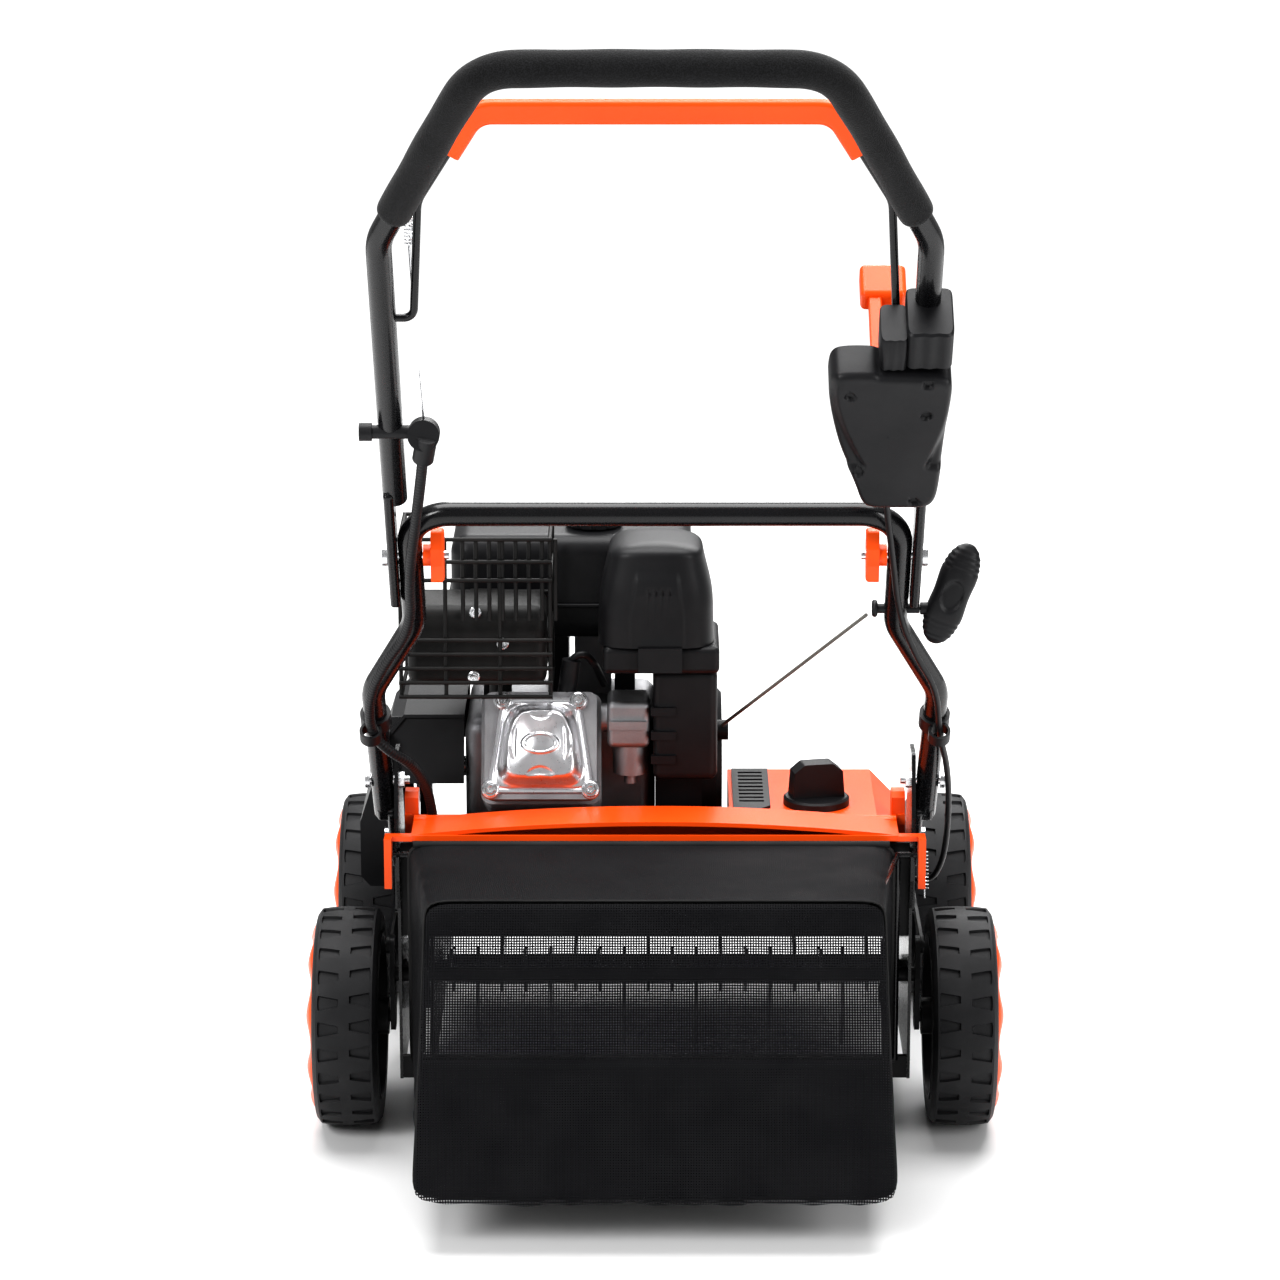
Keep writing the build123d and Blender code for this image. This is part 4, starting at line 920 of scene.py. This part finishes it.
def drawn_rope():
    """The straight rope between the eye on the leg and the grip, fixed in place; on the machine it
    lengthens as the grip is pulled.
    """
    eye, knot = at(216, -107, 538), at(243, -107, 538)
    shell, faces, uvs = hose(even_steps([eye, knot], 1 * MM), ROPE_RADIUS, 14)
    drawn = make_piece("drawn_starter_rope", shell, faces, "rope", None, 60, uvs=uvs)
    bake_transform(drawn)


def filter_relief(x, height, dome):
    """How far the filter cover's rear face is cut in here, in millimetres, or raised if negative."""
    panel_edge = abs(x - 1) + max(0, height - 30) * 0.12
    relief = -2.0 * smoothstep(27, 23, panel_edge) * smoothstep(78, 62, height) * dome
    for groove in range(4):
        from_groove = abs(x - (-7.5 + 6.5 * groove))
        ends = smoothstep(13, 17, height) * smoothstep(60, 55, height)
        relief += 1.8 * smoothstep(1.9, 1.0, from_groove) * ends
    return relief


def air_cleaner():
    """Domed filter cover: rounded shoulders, a raised front panel and four short grooves."""
    low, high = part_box("air_cleaner_cover")
    rows, segments = 90, 260
    centre, half, tall = (low + high) / 2, (high - low) / 2, high.z - low.z
    points = []
    for i in range(rows + 1):
        s = sin(pi / 2 * i / rows)
        narrowing = 1 - 0.045 * s - 0.17 * smoothstep(0.35, 1.0, s)
        dome = 1 - smoothstep(0.8, 1.0, s)
        shoulder = narrowing * max(0.0, 1 - max(0, (s - 0.86) / 0.14) ** 3.0) ** 0.5
        z = low.z + tall * s
        for k in range(segments):
            turn = tau * k / segments
            u, v = cos(turn), sin(turn)
            shape = (abs(u) ** 4 + abs(v) ** 4) ** -0.25
            x = half.x * shoulder * u * shape
            y = half.y * (0.35 + 0.65 * shoulder if shoulder > 0.05 else shoulder) * v * shape
            if v < 0 and dome > 0:
                y += filter_relief(x / MM, (z - low.z) / MM, dome) * MM
                y = max(y, low.y - centre.y)
            points.append(Vector((centre.x + x, centre.y + y, z)))
    faces = grid_faces(rows + 1, segments)
    piece = make_piece("domed_filter_cover", points, faces, "black_plastic", "machine", 50)
    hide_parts("air_cleaner_cover")


LEVER_BOX = [
    (200, 117), (187, 117), (180, 125), (173, 152), (160, 188), (152, 226), (148, 255), (148, 268),
    (150, 281), (158, 287), (186, 287), (190, 283), (248, 282), (253, 274), (252, 244), (249, 200),
    (247, 142), (244, 124), (236, 117), (218, 117), (200, 117),
]                            # outline, across and up the leg
LEVER_BOX_MIDDLE = (200.0, 212.0)
LEVER_BOX_SCREWS = [(166, 262), (232, 276), (232, 238), (176, 166), (226, 128)]
LEVER_BOX_BACK = -44.0       # where the back starts to round off, behind the leg's middle


def lever_box_recess(x, up):
    """How far the back face is cut in by the long scallop on each side, in millimetres."""
    share = max(0.0, min(1.0, (265 - up) / 90))
    left_edge, right_edge = 156 + 27 * share ** 1.5, 251 - 19 * share ** 1.5
    outside = max(left_edge - x, x - right_edge)
    return 5.5 * smoothstep(0, 7, outside) * smoothstep(168, 174, up)


def lever_box_rings():
    """(place in front of the leg, share of the outline) from the open front round to the back."""
    rings = [(-12.0, 0.975), (-13.5, 1.0), (-30.0, 1.0), (LEVER_BOX_BACK, 1.0)]
    for step in range(1, 7):
        bend = pi / 2 * step / 6
        rings.append((LEVER_BOX_BACK - 7.0 * sin(bend), 1.0 - 0.085 * (1 - cos(bend))))
    for step in range(1, 40):
        rings.append((LEVER_BOX_BACK - 7.0, 0.915 * (1 - step / 39.5)))
    return rings


def lever_box_cut(x, up, depth):
    """How far a place on the box is cut in: the scallops, and on the back the screws' hollows."""
    cut = lever_box_recess(x, up) if depth < LEVER_BOX_BACK + 1 else 0.0
    if depth < LEVER_BOX_BACK - 6:
        for screw_x, screw_up in LEVER_BOX_SCREWS:
            away = ((x - screw_x) ** 2 + (up - screw_up) ** 2) ** 0.5
            cut += 3.5 * smoothstep(5.2, 3.8, away)
    return cut


def lever_box():
    """Moulded lever box: rounded back with two scallops, open slot in front, clamp on the leg."""
    flat = [Vector((x, up, 0)) for x, up in LEVER_BOX]
    line = even_steps(smooth_route(flat), 1.5)[:-1]
    count = len(line)
    middle_x, middle_up = LEVER_BOX_MIDDLE
    rings = lever_box_rings()
    points = []
    for depth, share in rings:
        for p in line:
            x, up = middle_x + (p.x - middle_x) * share, middle_up + (p.y - middle_up) * share
            points.append(on_leg(x, up, depth + lever_box_cut(x, up, depth)))
    faces = grid_faces(len(rings), count)
    start = len(points)
    for p in line:
        dx, dup = p.x - middle_x, p.y - middle_up
        fit = max(abs(dx) / 13, abs(dup + 20) / 52, 1e-6)
        points.append(on_leg(middle_x - 10 + dx / fit, middle_up + 22 + dup / fit * 0.9, -12.0))
    for k in range(count):
        faces.append((k, (k + 1) % count, start + (k + 1) % count, start + k))
    parts = [(points, faces)]
    parts.append(clamp_block(212, 252, 288, 330, -44, 14, 9))
    parts.append(clamp_block(190, 214, 286, 322, -44, 2, 6))
    piece = merged("moulded_lever_box", parts, "black_plastic", "upper_handle", sharp=40)
    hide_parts("control_box")


def clamp_block(x0, x1, up0, up1, front0, front1, corner):
    """Rounded block along the leg, fluted on the side that faces the operator."""
    rows = [(up0, 0.94), (up0 + 1.5, 1.0), (up1 - 2, 1.0), (up1, 0.93)]
    middle_x, middle_front = (x0 + x1) / 2, (front0 + front1) / 2
    half_x, half_front = (x1 - x0) / 2, (front1 - front0) / 2
    points = []
    segments = 72
    for up, share in rows:
        for k in range(segments):
            turn = tau * k / segments
            u, v = cos(turn), sin(turn)
            reach = (abs(u) ** corner + abs(v) ** corner) ** (-1 / corner)
            x, front = u * reach * half_x * share, v * reach * half_front * share
            if v < 0:
                front += (0.5 - 0.5 * cos(x / half_x * 3 * pi)) * smoothstep(0.0, 0.7, -v)
            points.append(on_leg(middle_x + x, up, middle_front + front))
    return points, grid_faces(len(rows), segments) + end_caps(len(rows), segments)


def starter_line():
    """Braided rope from the recoil cover up to the eye on the right leg."""
    start, end = at(66, 149, 353), at(194, -98, 529.5)
    shell, faces, uvs = hose(even_steps([start, end], 2 * MM), ROPE_RADIUS, 14)
    piece = make_piece("braided_starter_rope", shell, faces, "rope", "machine", 60, uvs=uvs)
    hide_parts("starter_rope")


def lift_spring():
    """Return spring with straight ends between the machine's right side and the axle's crank."""
    top, bottom = at(259.5, 60, 262), at(259.5, 30, 214)
    coil = hose(helix(top.lerp(bottom, 0.15), top.lerp(bottom, 0.85), 3.8 * MM, 11), 0.8 * MM, 6)[:2]
    straight = hose([top, top.lerp(bottom, 0.15)], 0.9 * MM, 8)[:2]
    tail = hose([top.lerp(bottom, 0.85), bottom], 0.9 * MM, 8)[:2]
    merged("lift_return_spring", [coil, straight, tail], "zinc", "machine")


# ---- scene ----------------------------------------------------------------------------
def area_light(name, place, target, size, power):
    """Rectangular lamp that faces its target."""
    data = bpy.data.lights.new(name, "AREA")
    data.shape = "RECTANGLE"
    data.size, data.size_y = size
    data.energy = power
    light = bpy.data.objects.new(name, data)
    light.location = place
    light.rotation_euler = (Vector(target) - Vector(place)).to_track_quat("-Z", "Y").to_euler()
    bpy.context.scene.collection.objects.link(light)


def floor():
    material, tree, shader = new_material("pale floor")
    tone = noise(tree, 3)
    tree.links.new(two_tones(tree, tone, (0.86, 0.86, 0.86), (0.88, 0.88, 0.88)),
                   shader.inputs["Base Color"])
    shader.inputs["Roughness"].default_value = 0.55
    bpy.ops.mesh.primitive_circle_add(vertices=128, radius=3.3, fill_type="NGON", location=(0, 0, 0))
    ground = bpy.context.object
    ground.name = "studio_floor"
    ground.data.materials.append(material)


def studio():
    """White world, dimmer as a lamp than to the camera, and four soft lamps."""
    world = bpy.data.worlds.new("studio")
    bpy.context.scene.world = world
    world.use_nodes = True
    tree = world.node_tree
    background = tree.nodes["Background"]
    background.inputs["Color"].default_value = (1, 1, 1, 1)
    rays = tree.nodes.new("ShaderNodeLightPath")
    strength = spread(tree, rays.outputs["Is Camera Ray"], 0.34, 1.0, 0, 1)
    tree.links.new(strength, background.inputs["Strength"])
    target = (0, 0, 0.5)
    area_light("key", (-2.6, -2.8, 2.8), target, (1.2, 1.8), 120)
    area_light("fill", (2.8, -2.2, 1.6), target, (0.9, 2.0), 60)
    area_light("top", (0, 0.4, 3.4), target, (3.0, 2.2), 150)
    area_light("back", (0.6, 3.0, 2.4), target, (2.4, 1.4), 70)


def camera():
    data = bpy.data.cameras.new("camera")
    data.sensor_width = 36
    data.lens = 125.63
    data.shift_x = -0.0117
    view = bpy.data.objects.new("camera", data)
    view.location = at(0, -4063, 1568)
    view.rotation_euler = (radians(75), 0, 0)
    bpy.context.scene.collection.objects.link(view)
    bpy.context.scene.camera = view


def settle_colours():
    bpy.context.scene.view_settings.view_transform = "Standard"
    bpy.context.scene.view_settings.look = "Medium High Contrast"


camera()
studio()
settle_colours()
floor()
dress_cad_nodes()
for corner in ("front_left", "front_right", "rear_left", "rear_right"):
    tyre(f"tyre_{corner}")
    wheel_rim(f"rim_{corner}")
bag()
cable_piece("ribbed_clutch_sleeve", clutch_points(), "clutch_cable", 5.0 * MM, rib=3.6 * MM)
cable_piece("lift_cable_sheath", lift_points(), "lift_cable", 3.0 * MM)
bail_wire()
valve_cover()
engine_bolts()
foam_sleeve()
starter_line()
pull_grip()
drawn_rope()
lever_box()
air_cleaner()
lift_spring()
